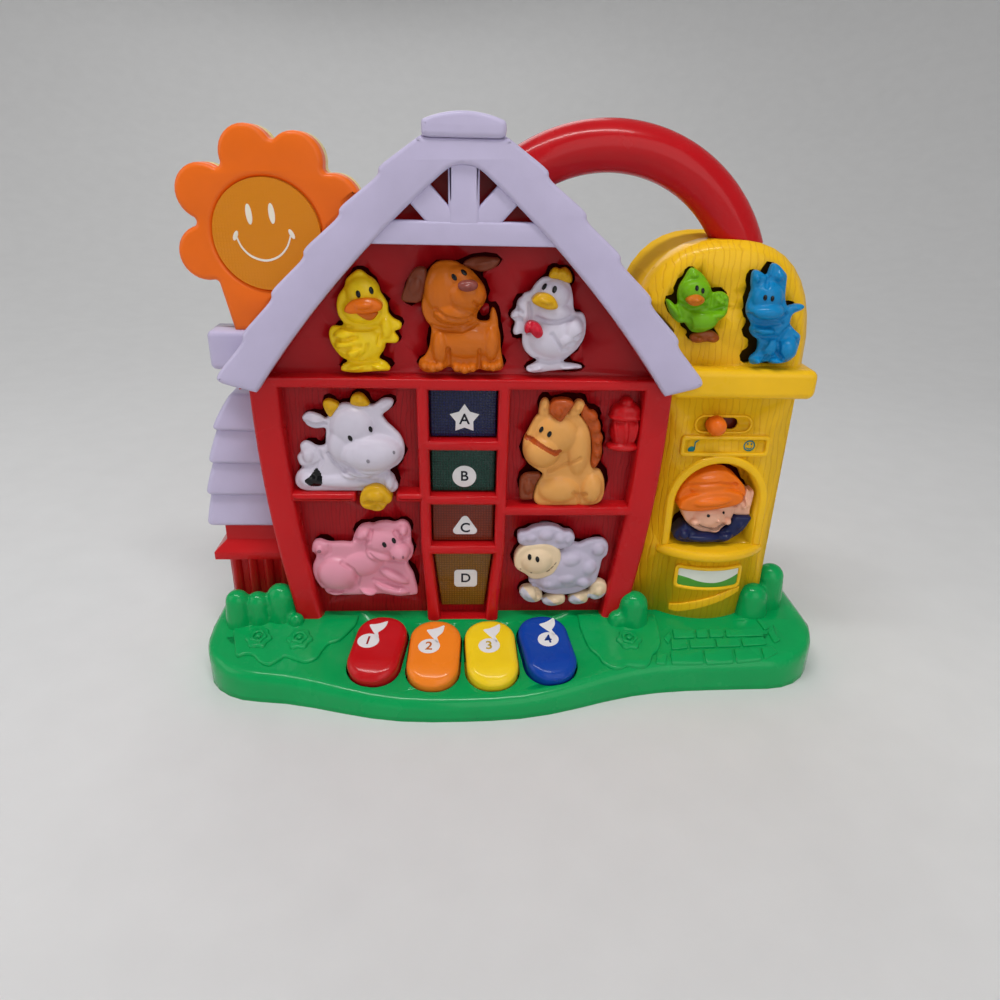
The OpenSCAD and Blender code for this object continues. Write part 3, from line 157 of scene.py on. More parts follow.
def empty_mesh(name):
    bpy.ops.object.select_all(action="DESELECT")
    bpy.ops.object.add(type="MESH", location=(0, 0, 0))
    obj = bpy.context.object
    obj.name = name
    obj.data.name = name
    return obj


def linked(name, data):
    """A new object in the scene."""
    obj = bpy.data.objects.new(name, data)
    bpy.context.scene.collection.objects.link(obj)
    alone(obj)
    return obj


def merge(obj):
    with editing(obj):
        bpy.ops.mesh.remove_doubles(threshold=MERGE)
    return obj


def copy_node(node, name):
    """A merged copy of a CAD node, ready for shaping."""
    obj = linked(name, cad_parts[node].data.copy())
    obj.data.materials.clear()
    return merge(obj)


def shape_with(obj, kind, **settings):
    """Adds a modifier and applies it."""
    alone(obj)
    modifier = obj.modifiers.new(kind.title(), kind)
    for key, value in settings.items():
        setattr(modifier, key, value)
    bpy.ops.object.modifier_apply(modifier=modifier.name)


def reshape(obj, move):
    """Moves every point of a piece; the rule takes and gives millimetres."""
    for point in obj.data.vertices:
        point.co = Vector(move(*(point.co / MM))) * MM
    obj.data.update()


def slices(obj, normal, first, last, step):
    """Cuts a piece's faces along parallel planes, so that it can bend there."""
    with editing(obj):
        at = first
        while at <= last:
            bpy.ops.mesh.select_all(action="SELECT")
            bpy.ops.mesh.bisect(plane_co=Vector(normal) * at * MM, plane_no=normal)
            at += step


def smooth(obj, angle=40):
    alone(obj)
    bpy.ops.object.shade_smooth_by_angle(angle=math.radians(angle))


def join(first, *rest):
    alone(first)
    for obj in rest:
        obj.select_set(True)
    bpy.ops.object.join()
    return first


def settle(obj, matrix):
    """Puts a piece in its place and keeps the place in its mesh."""
    obj.matrix_world = matrix
    alone(obj)
    bpy.ops.object.transform_apply(location=True, rotation=True, scale=True)
    return obj


def upright(obj):
    """Stands a plan up, so that it faces the front."""
    return settle(obj, Matrix.Rotation(math.pi / 2, 4, "X"))


def outlines(obj, depth):
    """Outlines in (x, z) of the faces that lie flat at a depth; holes run the other way round."""
    bm = bmesh.new()
    bm.from_mesh(obj.data)
    flat = [f for f in bm.faces
            if abs(f.normal.y) > 0.99 and all(abs(v.co.y / MM - depth) < 0.02 for v in f.verts)]
    known = set(flat)
    after = {}
    for face in flat:
        for corner in face.loops:
            if not any(other in known for other in corner.edge.link_faces if other is not face):
                after.setdefault(corner.vert, []).append(corner.link_loop_next.vert)
    lines = []
    while after:
        vert = next(iter(after))
        line = []
        while vert in after:
            line.append((vert.co.x / MM, vert.co.z / MM))
            following = after[vert].pop()
            if not after[vert]:
                del after[vert]
            vert = following
        # Blender tells a hole by its first point, so that lies partway up the steepest side
        k = max(range(len(line)), key=lambda i: abs(line[i][1] - line[i - 1][1]))
        (x0, z0), (x1, z1) = line[k - 1], line[k]
        lines.append([(x0 + 0.37 * (x1 - x0), z0 + 0.37 * (z1 - z0)), *line[k:], *line[:k]])
    bm.free()
    return lines


def ring(x, z, rx, rz=None, count=32, lobes=0, lobe=0.0, turn=0):
    """An oval outline, or a scalloped one."""
    points = []
    t = math.radians(turn)
    for i in range(count):
        a = 2 * math.pi * i / count
        wave = 1 + lobe * math.cos(lobes * a)
        u, v = rx * wave * math.cos(a), (rz or rx) * wave * math.sin(a)
        points.append((x + u * math.cos(t) - v * math.sin(t), z + u * math.sin(t) + v * math.cos(t)))
    return points


def oblong(x0, z0, x1, z1, r, count=6):
    """A rectangle with round corners."""
    points = []
    left, right, low, high = x0 + r, x1 - r, z0 + r, z1 - r
    for cx, cz, start in ((right, high, 0), (left, high, 90), (left, low, 180), (right, low, 270)):
        for i in range(count + 1):
            a = math.radians(start + 90 * i / count)
            points.append((cx + r * math.cos(a), cz + r * math.sin(a)))
    return points


def flowing(points, count=5, closed=False):
    """A smooth line through points."""
    ends = [points[-1], *points, *points[:2]] if closed else [points[0], *points, points[-1]]
    line = []
    for four in zip(ends, ends[1:], ends[2:], ends[3:]):
        for i in range(count):
            t = i / count
            line.append(tuple(0.5 * (2 * q + (r - p) * t + (2 * p - 5 * q + 4 * r - s) * t * t
                                     + (3 * q - p - 3 * r + s) * t ** 3) for p, q, r, s in zip(*four)))
    return line if closed else line + [points[-1]]


def contour(points, count=4):
    """A smooth closed outline through points, anticlockwise."""
    line = flowing(points, count, True)
    area = sum(a[0] * b[1] - b[0] * a[1] for a, b in zip(line, line[1:] + line[:1]))
    return line if area > 0 else line[::-1]


def inside(x, z, line):
    """Whether a point lies within an outline."""
    odd = False
    for (ax, az), (bx, bz) in zip(line, line[1:] + line[:1]):
        if (az > z) != (bz > z) and x < ax + (bx - ax) * (z - az) / (bz - az):
            odd = not odd
    return odd


def rounded(line, r):
    """An outline with its corners rounded."""
    points = []
    for before, at, after in zip(line[-1:] + line[:-1], line, line[1:] + line[:1]):
        a, b, c = Vector(before), Vector(at), Vector(after)
        start = b + (a - b) * min(0.45, r / max((a - b).length, 1e-6))
        end = b + (c - b) * min(0.45, r / max((c - b).length, 1e-6))
        for i in range(5):
            t = i / 4
            points.append(tuple(start * (1 - t) ** 2 + b * 2 * t * (1 - t) + end * t ** 2))
    return points


def soft_plate(name, lines, low, high, radius, steps=3):
    """A plate with softened rims over plan outlines, holes included."""
    curve = bpy.data.curves.new(name, "CURVE")
    curve.dimensions = "2D"
    curve.fill_mode = "BOTH"
    curve.extrude = ((high - low) / 2 - radius) * MM
    curve.bevel_depth = radius * MM
    curve.bevel_resolution = steps
    curve.offset = -radius * MM
    for line in lines:
        spline = curve.splines.new("POLY")
        spline.points.add(len(line) - 1)
        spline.use_cyclic_u = True
        for point, (x, y) in zip(spline.points, line):
            point.co = (x * MM, y * MM, 0, 1)
    linked(name, curve)
    bpy.ops.object.convert(target="MESH")
    return merge(settle(bpy.context.object, Matrix.Translation((0, 0, (low + high) / 2 * MM))))


def slab(name, lines, front, back, radius, steps=3):
    """A plate with softened rims that faces the front."""
    return upright(soft_plate(name, lines, -back, -front, radius, steps))


def printed(name, lines, front, material):
    """A thin printed mark that lies on a face."""
    thick = bpy.context.scene.farm_sizes.sticker / MM
    return paint(slab(name, lines, front - thick, front + thick, 0.3 * thick, 1), material)


def letter(name, text, x, z, size, material):
    """A plain letter or number, flat, about a point of the plan."""
    bpy.ops.object.select_all(action="DESELECT")
    bpy.ops.object.text_add(location=(0, 0, 0))
    obj = bpy.context.object
    obj.name = name
    obj.data.body = text
    obj.data.size = size * MM
    obj.data.align_x = "CENTER"
    obj.data.align_y = "CENTER"
    obj.data.offset = 0.12 * MM
    obj.data.extrude = bpy.context.scene.farm_sizes.sticker
    bpy.ops.object.convert(target="MESH")
    return paint(settle(bpy.context.object, Matrix.Translation((x * MM, z * MM, 0))), material)


def chop(obj, spot, normal, keep_front=True):
    """Cuts a piece flat, keeps the side behind the normal or the one before it, and closes the cut."""
    with editing(obj):
        bpy.ops.mesh.bisect(plane_co=spot, plane_no=normal, use_fill=True,
                            clear_outer=keep_front, clear_inner=not keep_front)


def cut_behind(obj, y, keep_front=True):
    """Cuts a piece flat at a depth."""
    chop(obj, (0, y * MM, 0), (0, 1, 0), keep_front)


def cut_face(obj, y):
    """Takes off what stands before a depth and closes the cut, rings included."""
    with editing(obj):
        bpy.ops.mesh.select_mode(type="VERT")
        bpy.ops.mesh.select_all(action="SELECT")
        bpy.ops.mesh.bisect(plane_co=(0, y * MM, 0), plane_no=(0, 1, 0), clear_inner=True)
        bpy.ops.mesh.select_all(action="DESELECT")
        bpy.ops.mesh.select_mode(type="EDGE")
        bpy.ops.mesh.select_non_manifold(extend=False, use_wire=True, use_boundary=True, use_multi_face=False,
                                         use_non_contiguous=False, use_verts=False)
        bpy.ops.mesh.fill(use_beauty=False)


def grown(obj, voxel, relax):
    """Grows the forms of a piece together and relaxes them."""
    shape_with(obj, "REMESH", mode="VOXEL", voxel_size=voxel)
    shape_with(obj, "SMOOTH", factor=0.5, iterations=relax)
    return obj


def clump(name, balls):
    """Round forms [x, y, z, rx, ry, rz] grown together."""
    obj = empty_mesh(name)
    with editing(obj):
        for x, y, z, rx, ry, rz in balls:
            bpy.ops.mesh.primitive_uv_sphere_add(segments=24, ring_count=14, radius=MM, scale=(rx, ry, rz),
                                                 location=(x * MM, y * MM, z * MM))
    return grown(obj, 0.7 * MM, 6)


def drape(obj, ground):
    """Lays a plan's forms on the ground below them."""
    bpy.context.view_layer.update()
    def down(x, y, z):
        hit, spot, _, _ = ground.ray_cast(Vector((x, y, 30)) * MM, Vector((0, 0, -1)))
        if not hit:
            raise RuntimeError("no ground at %.1f, %.1f" % (x, y))
        return x, y, z + spot.z / MM
    reshape(obj, down)


def paint(obj, *materials):
    obj.data.materials.clear()
    for material in materials:
        obj.data.materials.append(material)
    return obj


def paint_faces(obj, index, test):
    """Gives the faces that pass the test the material of that index."""
    for face in obj.data.polygons:
        if test(face.center / MM, face.normal):
            face.material_index = index


def place(obj, name, angle, body, slot, *nodes):
    """Names and smooths a finished piece, ties it to its body and hides its CAD nodes; the slot is not used.
    """
    obj.name = name
    if angle:
        smooth(obj, angle)
    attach(obj, body)
    if nodes:
        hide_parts(*nodes)


def eased(node, name, width, material, slot):
    """A CAD node with its sharp edges eased."""
    obj = copy_node(node, name)
    shape_with(obj, "BEVEL", width=width * MM, segments=2, limit_method="ANGLE", angle_limit=math.radians(35))
    place(paint(obj, material), name, 35, HOUSING, slot, node)


def shade(colour, factor):
    return tuple(min(1, c * factor) for c in colour[:3]) + (1,)


def feed(material, node, inputs):
    """Sets a node's inputs; an output of another node is linked instead."""
    for key, value in inputs.items():
        if isinstance(value, bpy.types.NodeSocket):
            material.node_tree.links.new(value, node.inputs[key])
        else:
            node.inputs[key].default_value = value


def add(material, kind, inputs, **settings):
    """Adds a shader node and feeds it."""
    node = material.node_tree.nodes.new("ShaderNode" + kind)
    for key, value in settings.items():
        setattr(node, key, value)
    feed(material, node, inputs)
    return node


def on_piece(material):
    return add(material, "TexCoord", {}).outputs["Object"]


def tones(material, value, low, high, name="Tones"):
    """A ramp of colour between two ends of (position, colour)."""
    ramp = add(material, "ValToRGB", {"Fac": value}, name=name)
    for stop, (at, colour) in zip(ramp.color_ramp.elements, (low, high)):
        stop.position = at
        stop.color = colour
    return ramp.outputs["Color"]


def moulded(name, colour, rough=0.3, mottle=0.07, peel=0.06, coat=0.2, shine=0.14):
    """Moulded plastic: faint drift of colour, uneven gloss and fine orange peel."""
    name += "_finish"
    if name in bpy.data.materials:
        return bpy.data.materials[name]
    material = bpy.data.materials.new(name)
    material.use_nodes = True
    at = on_piece(material)
    drift = add(material, "TexNoise", {"Vector": at, "Scale": 42, "Detail": 4}).outputs["Fac"]
    gloss = add(material, "MapRange", {"Value": drift, "From Min": 0.3, "From Max": 0.7,
                                       "To Min": rough - 0.05, "To Max": rough + 0.07})
    pores = add(material, "TexNoise", {"Vector": at, "Scale": 620, "Detail": 2}).outputs["Fac"]
    bump = add(material, "Bump", {"Height": pores, "Strength": peel, "Distance": 0.0004}, name="Peel")
    low, high = (0.3, shade(colour, 1 - mottle)), (0.7, shade(colour, 1 + mottle / 2))
    feed(material, material.node_tree.nodes["Principled BSDF"], {
        "Base Color": tones(material, drift, low, high, "Colour drift"),
        "Roughness": gloss.outputs["Result"], "Normal": bump.outputs["Normal"],
        "Specular IOR Level": shine, "Coat Weight": coat, "Coat Roughness": 0.09})
    return material


def grained(name, colour, dark, period, depth, stretch=0.3, rough=0.4):
    """Moulded plastic with carved, wavy wood grain that runs up the piece."""
    material = moulded(name, colour, rough=rough)
    nodes = material.node_tree.nodes
    lay = add(material, "Mapping", {"Vector": on_piece(material), "Scale": (1, 1, stretch)})
    wave = add(material, "TexWave", {"Vector": lay.outputs["Vector"], "Scale": 0.314 / (period * MM),
                                     "Distortion": 9, "Detail": 2}, bands_direction="X")
    relief = tones(material, wave.outputs["Fac"], (0, (0, 0, 0, 1)), (0.16, (1, 1, 1, 1)))
    factor, first, second, mixed = 0, 6, 7, 2
    blend = add(material, "Mix", {factor: relief, first: tuple(dark[:3]) + (1,),
                                  second: nodes["Colour drift"].outputs["Color"]}, data_type="RGBA")
    groove = add(material, "Bump", {"Height": relief, "Strength": depth, "Distance": 0.0007,
                                    "Normal": nodes["Peel"].outputs["Normal"]})
    feed(material, nodes["Principled BSDF"], {"Base Color": blend.outputs[mixed],
                                              "Normal": groove.outputs["Normal"]})
    return material


def see_through(name, colour, glow=0.0, light=1.7, dark=0.6):
    """Tinted clear plastic with moulded ribs; the ribs are painted lighter and darker in its colour as
    painted highlight and shade, and the glow is painted light.
    """
    rib = 1.25
    material = moulded(name, colour, rough=0.14, mottle=0.25, coat=0.26)
    ribs = add(material, "TexVoronoi", {"Vector": on_piece(material), "Randomness": 0,
                                        "Scale": 1 / (rib * MM)}, distance="CHEBYCHEV").outputs["Distance"]
    prism = add(material, "Bump", {"Height": ribs, "Strength": 0.5, "Distance": 0.0006})
    feed(material, material.node_tree.nodes["Principled BSDF"], {
        # rib centres painted lighter and rib edges darker: painted highlight and shade
        "Base Color": tones(material, ribs, (0, shade(colour, light)), (0.5, shade(colour, dark))),
        "Normal": prism.outputs["Normal"], "Transmission Weight": 0.25, "IOR": 1.49,
        "Emission Color": tuple(colour[:3]) + (1,), "Emission Strength": glow})
    return material


def metal(name, colour):
    material = moulded(name, colour, mottle=0.15, peel=0.03, coat=0)
    material.node_tree.nodes["Principled BSDF"].inputs["Metallic"].default_value = 1
    return material


def black_gloss():
    return moulded("eye_black", tint("#0a0a0c"), rough=0.18, mottle=0.2, coat=0.4)


def barn_red(colours):
    return moulded("barn_red", colours.barn, rough=0.28, coat=0.24)


def sticker_white():
    return moulded("sticker_white", tint("#e9e9ea"), rough=0.45, mottle=0.03, coat=0)


def sculpt(name, forms, face, relax=4, plates=()):
    """Raised outlines and cushioned forms [x, z, half width, half height, turn, rise], grown as in clay."""
    obj = empty_mesh(name)
    full = 2.5
    with editing(obj):
        for x, z, hw, hh, turn, rise in forms:
            bpy.ops.mesh.primitive_uv_sphere_add(segments=24, ring_count=14, radius=1)
            bm = bmesh.from_edit_mesh(obj.data)
            c, s = math.cos(math.radians(turn)), math.sin(math.radians(turn))
            for vert in bm.verts:
                if vert.select:
                    u, v, w = vert.co
                    swell = (1 - min(1, math.hypot(u, w)) ** full) ** (1 / full)
                    y = -face - 0.25 * rise + math.copysign(0.75 * rise * swell, v)
                    vert.co = Vector((x + hw * u * c - hh * w * s, y, z + hw * u * s + hh * w * c)) * MM
            bmesh.update_edit_mesh(obj.data)
    obj = join(obj, *(slab(name + "_plate", [contour(points)], -face - rise, -face - 1, 1.5)
                      for points, rise in plates))
    return grown(obj, bpy.context.scene.farm_sizes.voxel, relax)


def stamp(obj, points, material):
    """Prints a flat shape on the front of a sculpted piece."""
    line = contour(points)
    obj.data.materials.append(material)
    index = len(obj.data.materials) - 1
    paint_faces(obj, index, lambda c, n: n.y < -0.05 and inside(c.x, c.z, line))


def carve(obj, lines):
    """Presses creases along front view lines into a sculpted piece."""
    depth, width = 1, bpy.context.scene.farm_sizes.groove / MM
    points = obj.data.vertices
    co, normals = np.empty(len(points) * 3, np.float32), np.empty(len(points) * 3, np.float32)
    points.foreach_get("co", co)
    points.foreach_get("normal", normals)
    co, normals = co.reshape(-1, 3), normals.reshape(-1, 3)
    flat = co[:, [0, 2]] / MM
    nearest = np.full(len(co), 1e9)
    for line in lines:
        for a, b in zip(line[:-1], line[1:]):
            a, b = np.array(a), np.array(b)
            along = np.clip((flat - a) @ (b - a) / max((b - a) @ (b - a), 1e-9), 0, 1)
            nearest = np.minimum(nearest, np.linalg.norm(flat - a - along[:, None] * (b - a), axis=1))
    press = np.clip(1 - (nearest / width) ** 2, 0, 1) * (normals[:, 1] < -0.15)
    co -= normals * (press * depth * MM)[:, None]
    points.foreach_set("co", co.ravel())
    obj.data.update()


def on_surface(parts, x, z):
    """Where a line of sight from the front first meets one of the parts, and which way the surface faces."""
    bpy.context.view_layer.update()
    hits = [part.ray_cast(Vector((x * MM, -0.1, z * MM)), Vector((0, 1, 0))) for part in parts]
    hits = [(spot.y, spot, normal) for hit, spot, normal, _ in hits if hit]
    if not hits:
        raise RuntimeError("nothing to set a bead on at %.1f, %.1f" % (x, z))
    return min(hits, key=lambda h: h[0])[1:]


def beads(name, parts, spots):
    """Oval beads [x, z, half width, half height, turn] pressed into the surface of a figure."""
    obj = empty_mesh(name)
    with editing(obj):
        for x, z, hw, hh, turn in spots:
            spot, normal = on_surface(parts, x, z)
            face = normal.to_track_quat("-Y", "Z").to_matrix() @ Matrix.Rotation(-math.radians(turn), 3, "Y")
            bpy.ops.mesh.primitive_uv_sphere_add(segments=20, ring_count=12, radius=MM, scale=(hw, 0.42, hh),
                                                 location=spot + normal * 0.1 * MM, rotation=face.to_euler())
    return obj


def eye_spots(*places, turn=12):
    sizes = bpy.context.scene.farm_sizes
    return [(x, z, sizes.eye_w / MM, sizes.eye_h / MM, turn) for x, z in places]


def figure(node, slot, face, groups, eyes, creases=(), extras=(), prints=(), foot_shade_colour=tint("#a01018")):
    """A push-button figure: groups of one colour each, creases, prints, eyes and the button's foot, which is
    painted nearly black as painted shade in the gap around the figure.
    """
    parts = []
    for material, plates, forms in groups:
        part = sculpt(node + "_form", forms, face, 6, plates)
        carve(part, creases)
        shape_with(part, "SMOOTH", factor=0.4, iterations=1)
        parts.append(paint(part, material))
    for which, material, points in prints:
        stamp(parts[which], points, material)
    clay = list(parts)
    for material, spots in [(black_gloss(), eyes)] + list(extras):
        parts.append(paint(beads(node + "_bead", clay, spots), material))
    for part in parts:
        cut_behind(part, -(face + 2.75))
    core = 0.66
    for material, plates, forms in groups:
        for x, z, hw, hh, turn, rise in forms:
            if hw * hh > 16:
                line = ring(x, z, core * hw, core * hh, 28, turn=turn)
                parts.append(paint(slab(node + "_core", [line], -(face + 4), -(face - 4), 0.2, 1), material))
    foot = copy_node(node, node + "_foot")
    cut_behind(foot, -(face - 2.9), keep_front=False)
    # the foot is painted nearly black: painted shade in the gap between the figure and its cut-out
    paint(foot, moulded(slot + "_foot", shade(foot_shade_colour, 0.16), rough=0.6, coat=0, shine=0.02))
    piece = join(parts[0], foot, *parts[1:])
    place(piece, node + "_figure", 60, node + "_body", slot, node)


class FarmOperator:
    bl_options = {"REGISTER", "UNDO"}

    def execute(self, context):
        self.make(context.scene.farm_colours, context.scene.farm_sizes)
        return {"FINISHED"}


class FARM_OT_barn_animals(FarmOperator, bpy.types.Operator):
    """Models the seven push-button animals of the barn"""
    bl_idname = "farm.barn_animals"
    bl_label = "Barn animals"

    def make(self, colours, sizes):
        white = moulded("animal_white", colours.white, rough=0.36)
        comb = moulded("comb_yellow", colours.comb)
        figure("duck_button", "duck_yellow", STALL_FACE,
            [(moulded("duck_yellow", colours.duck),
              [([(-69.3, 188.5), (-66.5, 187), (-64.5, 184.5), (-62, 181.5), (-60, 178.5), (-58, 175),
                 (-57.8, 171.5), (-55.8, 169), (-52.6, 167.2), (-53, 164.6), (-55.5, 163.6), (-53.8, 160.6),
                 (-54.8, 158.8), (-58, 158.6), (-60, 158.6), (-60.5, 155.5), (-62.5, 152), (-60, 150.6),
                 (-57.8, 147.9), (-59, 146.6), (-63, 146.4), (-68, 146), (-72.5, 145.6), (-77, 146),
                 (-79, 146.8), (-78.2, 149), (-75.8, 150.6), (-79, 153), (-82, 157.5), (-83, 161.5),
                 (-82.4, 164.5), (-80.8, 165.6), (-77.8, 165.4), (-76.6, 166.6), (-78.6, 170), (-79, 174.5),
                 (-77.8, 178.5), (-75.5, 181.5), (-74.5, 184.5), (-72.4, 186.6)], 5.6)],
              [(-70.4, 158.6, 11, 8.4, 0, 8.8), (-68.2, 172.6, 9.2, 6.2, 0, 9),
               (-68.2, 179.6, 7.4, 7, 0, 8.8), (-75.8, 162.6, 5.4, 2.8, 12, 10.4),
               (-75.4, 158.8, 5.6, 2.6, 12, 10.6), (-72.4, 155.6, 4.2, 3, 38, 10.6),
               (-59, 165, 3.4, 5.4, 0, 7.6), (-72.6, 148.2, 4.6, 1.6, 8, 7.6),
               (-62.4, 148.6, 4, 1.6, -12, 7.6)]),
             (moulded("beak_orange", colours.beak),
              [([(-75.2, 172.8), (-74, 175.4), (-71, 177.2), (-66, 178.1), (-62, 177.4), (-59.8, 175.5),
                 (-60, 173.6), (-62.5, 172.4), (-66, 171.8), (-70, 171.8), (-73, 171.6)], 11.4)],
              [(-67, 175.2, 6.4, 2.4, 6, 13)]),
             (moulded("beak_shade", shade(colours.beak, 0.72)),
              [([(-70.4, 172.4), (-68.6, 170.2), (-65.6, 168.8), (-63.2, 169.6), (-61.8, 172.6)], 10.4)],
              [])], eye_spots((-69.2, 179.4), (-64, 180.8)),
            [[(-79.6, 160.8), (-75.2, 160.6), (-71, 161.6)], [(-77.8, 156.6), (-73, 157), (-69.6, 158)],
             [(-66.6, 158.4), (-67.4, 154.8), (-70, 152.4)],
             [(-77.4, 166.2), (-72, 165), (-66, 165), (-61.4, 166)],
             [(-62, 158.8), (-61, 163), (-61.6, 166)], [(-76, 151), (-70, 150.2), (-63, 151)]])
        figure("dog_button", "dog_caramel", STALL_FACE,
            [(moulded("dog_caramel", colours.dog),
              [([(-34.5, 192.6), (-30, 192.4), (-27, 190.8), (-23.5, 189), (-20.5, 186), (-18, 182.5),
                 (-17, 178.5), (-18.4, 175), (-20.6, 172), (-20.6, 168.9), (-17, 168.4), (-15.6, 169.2),
                 (-15.4, 171.6), (-14.6, 174.2), (-13.3, 173.2), (-12.2, 169.6), (-11.8, 166.2),
                 (-10.9, 162), (-10.6, 157), (-9.8, 152.5), (-9.2, 149.5), (-10.4, 147.6), (-14, 147),
                 (-17.4, 147.2), (-19.6, 147.9), (-21.8, 146.7), (-26, 145.9), (-29.5, 146.6),
                 (-31.6, 148.4), (-34, 148.3), (-36.4, 146.8), (-40.5, 146), (-44, 146.8), (-45.8, 149),
                 (-45.2, 151.6), (-43, 153.4), (-41.2, 157), (-40.4, 161.5), (-40.2, 165.5), (-42.6, 169),
                 (-44, 173.5), (-43.5, 178.5), (-42.3, 184), (-40.5, 189), (-37.8, 191.8)], 5.8)],
              [(-34.2, 181, 9.2, 11.2, 0, 9.6), (-25.6, 179.6, 8.4, 7.6, 0, 12.2),
               (-28.2, 186.2, 6.6, 5, -20, 9.8), (-30.4, 171.8, 9.4, 5, 0, 10.6),
               (-25.4, 159.6, 13.6, 7.6, 0, 8.6), (-36.4, 157.6, 4, 8, 0, 9.2),
               (-14.8, 159.4, 3.8, 8.2, 0, 9), (-43, 149.8, 2.3, 2.3, 0, 9), (-39.6, 149, 2.4, 2.5, 0, 9.6),
               (-36.4, 149.6, 2.2, 2.3, 0, 9.2), (-29.4, 149, 2.1, 2.3, 0, 9.2),
               (-26, 148.4, 2.3, 2.4, 0, 9.8), (-22.6, 149, 2.1, 2.3, 0, 9.2),
               (-17.2, 149.8, 2.2, 2.2, 0, 9.2), (-13.8, 149.5, 2.3, 2.3, 0, 9.6),
               (-11.2, 150.6, 1.8, 2.3, 0, 9)]),
             (moulded("dog_ears", colours.dog_ears),
              [([(-42, 189.6), (-45.5, 189.8), (-48.5, 187), (-50.6, 182), (-52.2, 178), (-51.4, 176.2),
                 (-48, 175.6), (-44.4, 176.2), (-42.6, 181), (-41.6, 186)], 6.6),
               ([(-27, 191), (-24.5, 193.4), (-20, 194.4), (-15, 194.2), (-11.8, 193.6), (-12.5, 191.3),
                 (-15.5, 189.2), (-19.5, 188.4), (-23, 189.4)], 5.6)],
              [(-46.4, 182.4, 3.4, 5.8, -25, 8), (-18.6, 191.8, 5.6, 1.8, 8, 6.6)]),
             (moulded("dog_nose", colours.dog_nose, rough=0.24),
              [([(-29, 184.2), (-27, 185.7), (-23, 185.9), (-20.8, 184.6), (-21.4, 182.6), (-25, 181.5),
                 (-28, 182.2)], 13.4)], [(-24.8, 183.7, 3.6, 1.7, 2, 14.4)])],
            eye_spots((-30.3, 186.8), (-26.4, 188.6), turn=38),
            [[(-38, 173.6), (-34, 170.8), (-29, 169.6), (-24.4, 169.8), (-20.8, 172.2)],
             [(-22, 177), (-19.8, 174.6)], [(-40, 166.4), (-34, 165), (-27, 164.8), (-21, 167.6)],
             [(-33, 157), (-32.6, 149)], [(-19.8, 156.5), (-19.8, 149)]])
        figure("rooster_button", "rooster_white", STALL_FACE,
            [(white,
              [([(10, 186.8), (6, 186.4), (3.2, 184), (1.2, 181), (-1.5, 180), (-3, 177), (-3.8, 174.5),
                 (-6.4, 172), (-6.6, 169.8), (-4.8, 168.4), (-5.6, 164.7), (-5, 162.8), (-3, 163),
                 (-1.6, 163.4), (-1.6, 159.5), (-0.2, 156), (2.5, 153.4), (5.2, 152), (4, 150.8),
                 (0.8, 148.9), (0.9, 147.3), (3, 146.5), (7, 146.6), (11, 147.3), (16, 147.8), (21, 148.2),
                 (24.8, 148.8), (24.2, 150), (20, 150.8), (16.5, 151.4), (18.5, 153.6), (22, 156.8),
                 (24.8, 161.5), (25.4, 166.5), (24.8, 170.5), (23.2, 172.6), (20.6, 172.6), (19.6, 174.8),
                 (19.2, 178.5), (18, 183), (16, 185.4)], 5.4)],
              [(10.8, 179.8, 7.4, 6.6, 0, 9), (11.6, 172.6, 8, 5, 0, 8.4), (12, 161.8, 12, 9.2, 0, 8.8),
               (-1.4, 172.8, 3, 5.8, 10, 6.8), (19.8, 165, 4.6, 6.6, -8, 10), (17, 161.6, 5, 3.6, 35, 9.8),
               (5, 148.6, 3.4, 1.3, 8, 7), (18.6, 149.3, 4.6, 1.1, 4, 7)]),
             (comb,
              [([(8.6, 186.6), (9.6, 189.8), (11.4, 190.8), (13, 190), (15, 190.9), (16.8, 189.8),
                 (18.2, 187), (18, 184.8), (16.2, 184.6), (12.5, 185.8)], 6.2)],
              [(11.2, 188.8, 1.7, 1.5, 20, 7.2), (14.8, 188.6, 2, 1.8, 0, 7.4),
               (17, 186.6, 1.2, 2, -12, 7)]),
             (moulded("rooster_beak", colours.comb),
              [([(1.4, 178.3), (3.6, 180.6), (7, 181.2), (10.4, 179.6), (12.4, 176.2), (11.8, 174.8),
                 (8.5, 174.4), (4.5, 175.6), (2, 177)], 11)], [(7, 178, 4.6, 2.1, -14, 12.6)]),
             (moulded("wattle_red", colours.wattle),
              [([(-1.1, 165.7), (-0.6, 168), (1.4, 169.3), (3.6, 169.1), (5.6, 167.7), (6.8, 165),
                 (6.3, 163.1), (4.4, 162.3), (2.6, 163.5), (1.4, 164.7), (-0.3, 164.2)], 10)],
              [(1.1, 166.8, 1.7, 2.1, -16, 11), (4.5, 165.8, 2, 2.5, 24, 11.4)])],
            eye_spots((6.6, 183.3), (10.6, 182.5), turn=-14),
            [[(10.6, 164), (13.2, 160.2), (15.2, 157.2), (17, 157.6)], [(17.2, 159.4), (20, 160.6)],
             [(20.2, 162.4), (22.6, 163.8)], [(4, 170.4), (8, 169), (13, 168.8), (18.4, 170.6)],
             [(-4.4, 174), (-2.4, 172.6)], [(-5.2, 169.4), (-2.6, 169.6)],
             [(1, 176), (1.4, 171.6), (0.6, 164)], [(4.6, 152.4), (10, 151.4), (17, 152.2)],
             [(1.6, 148.4), (5, 148.8)]])
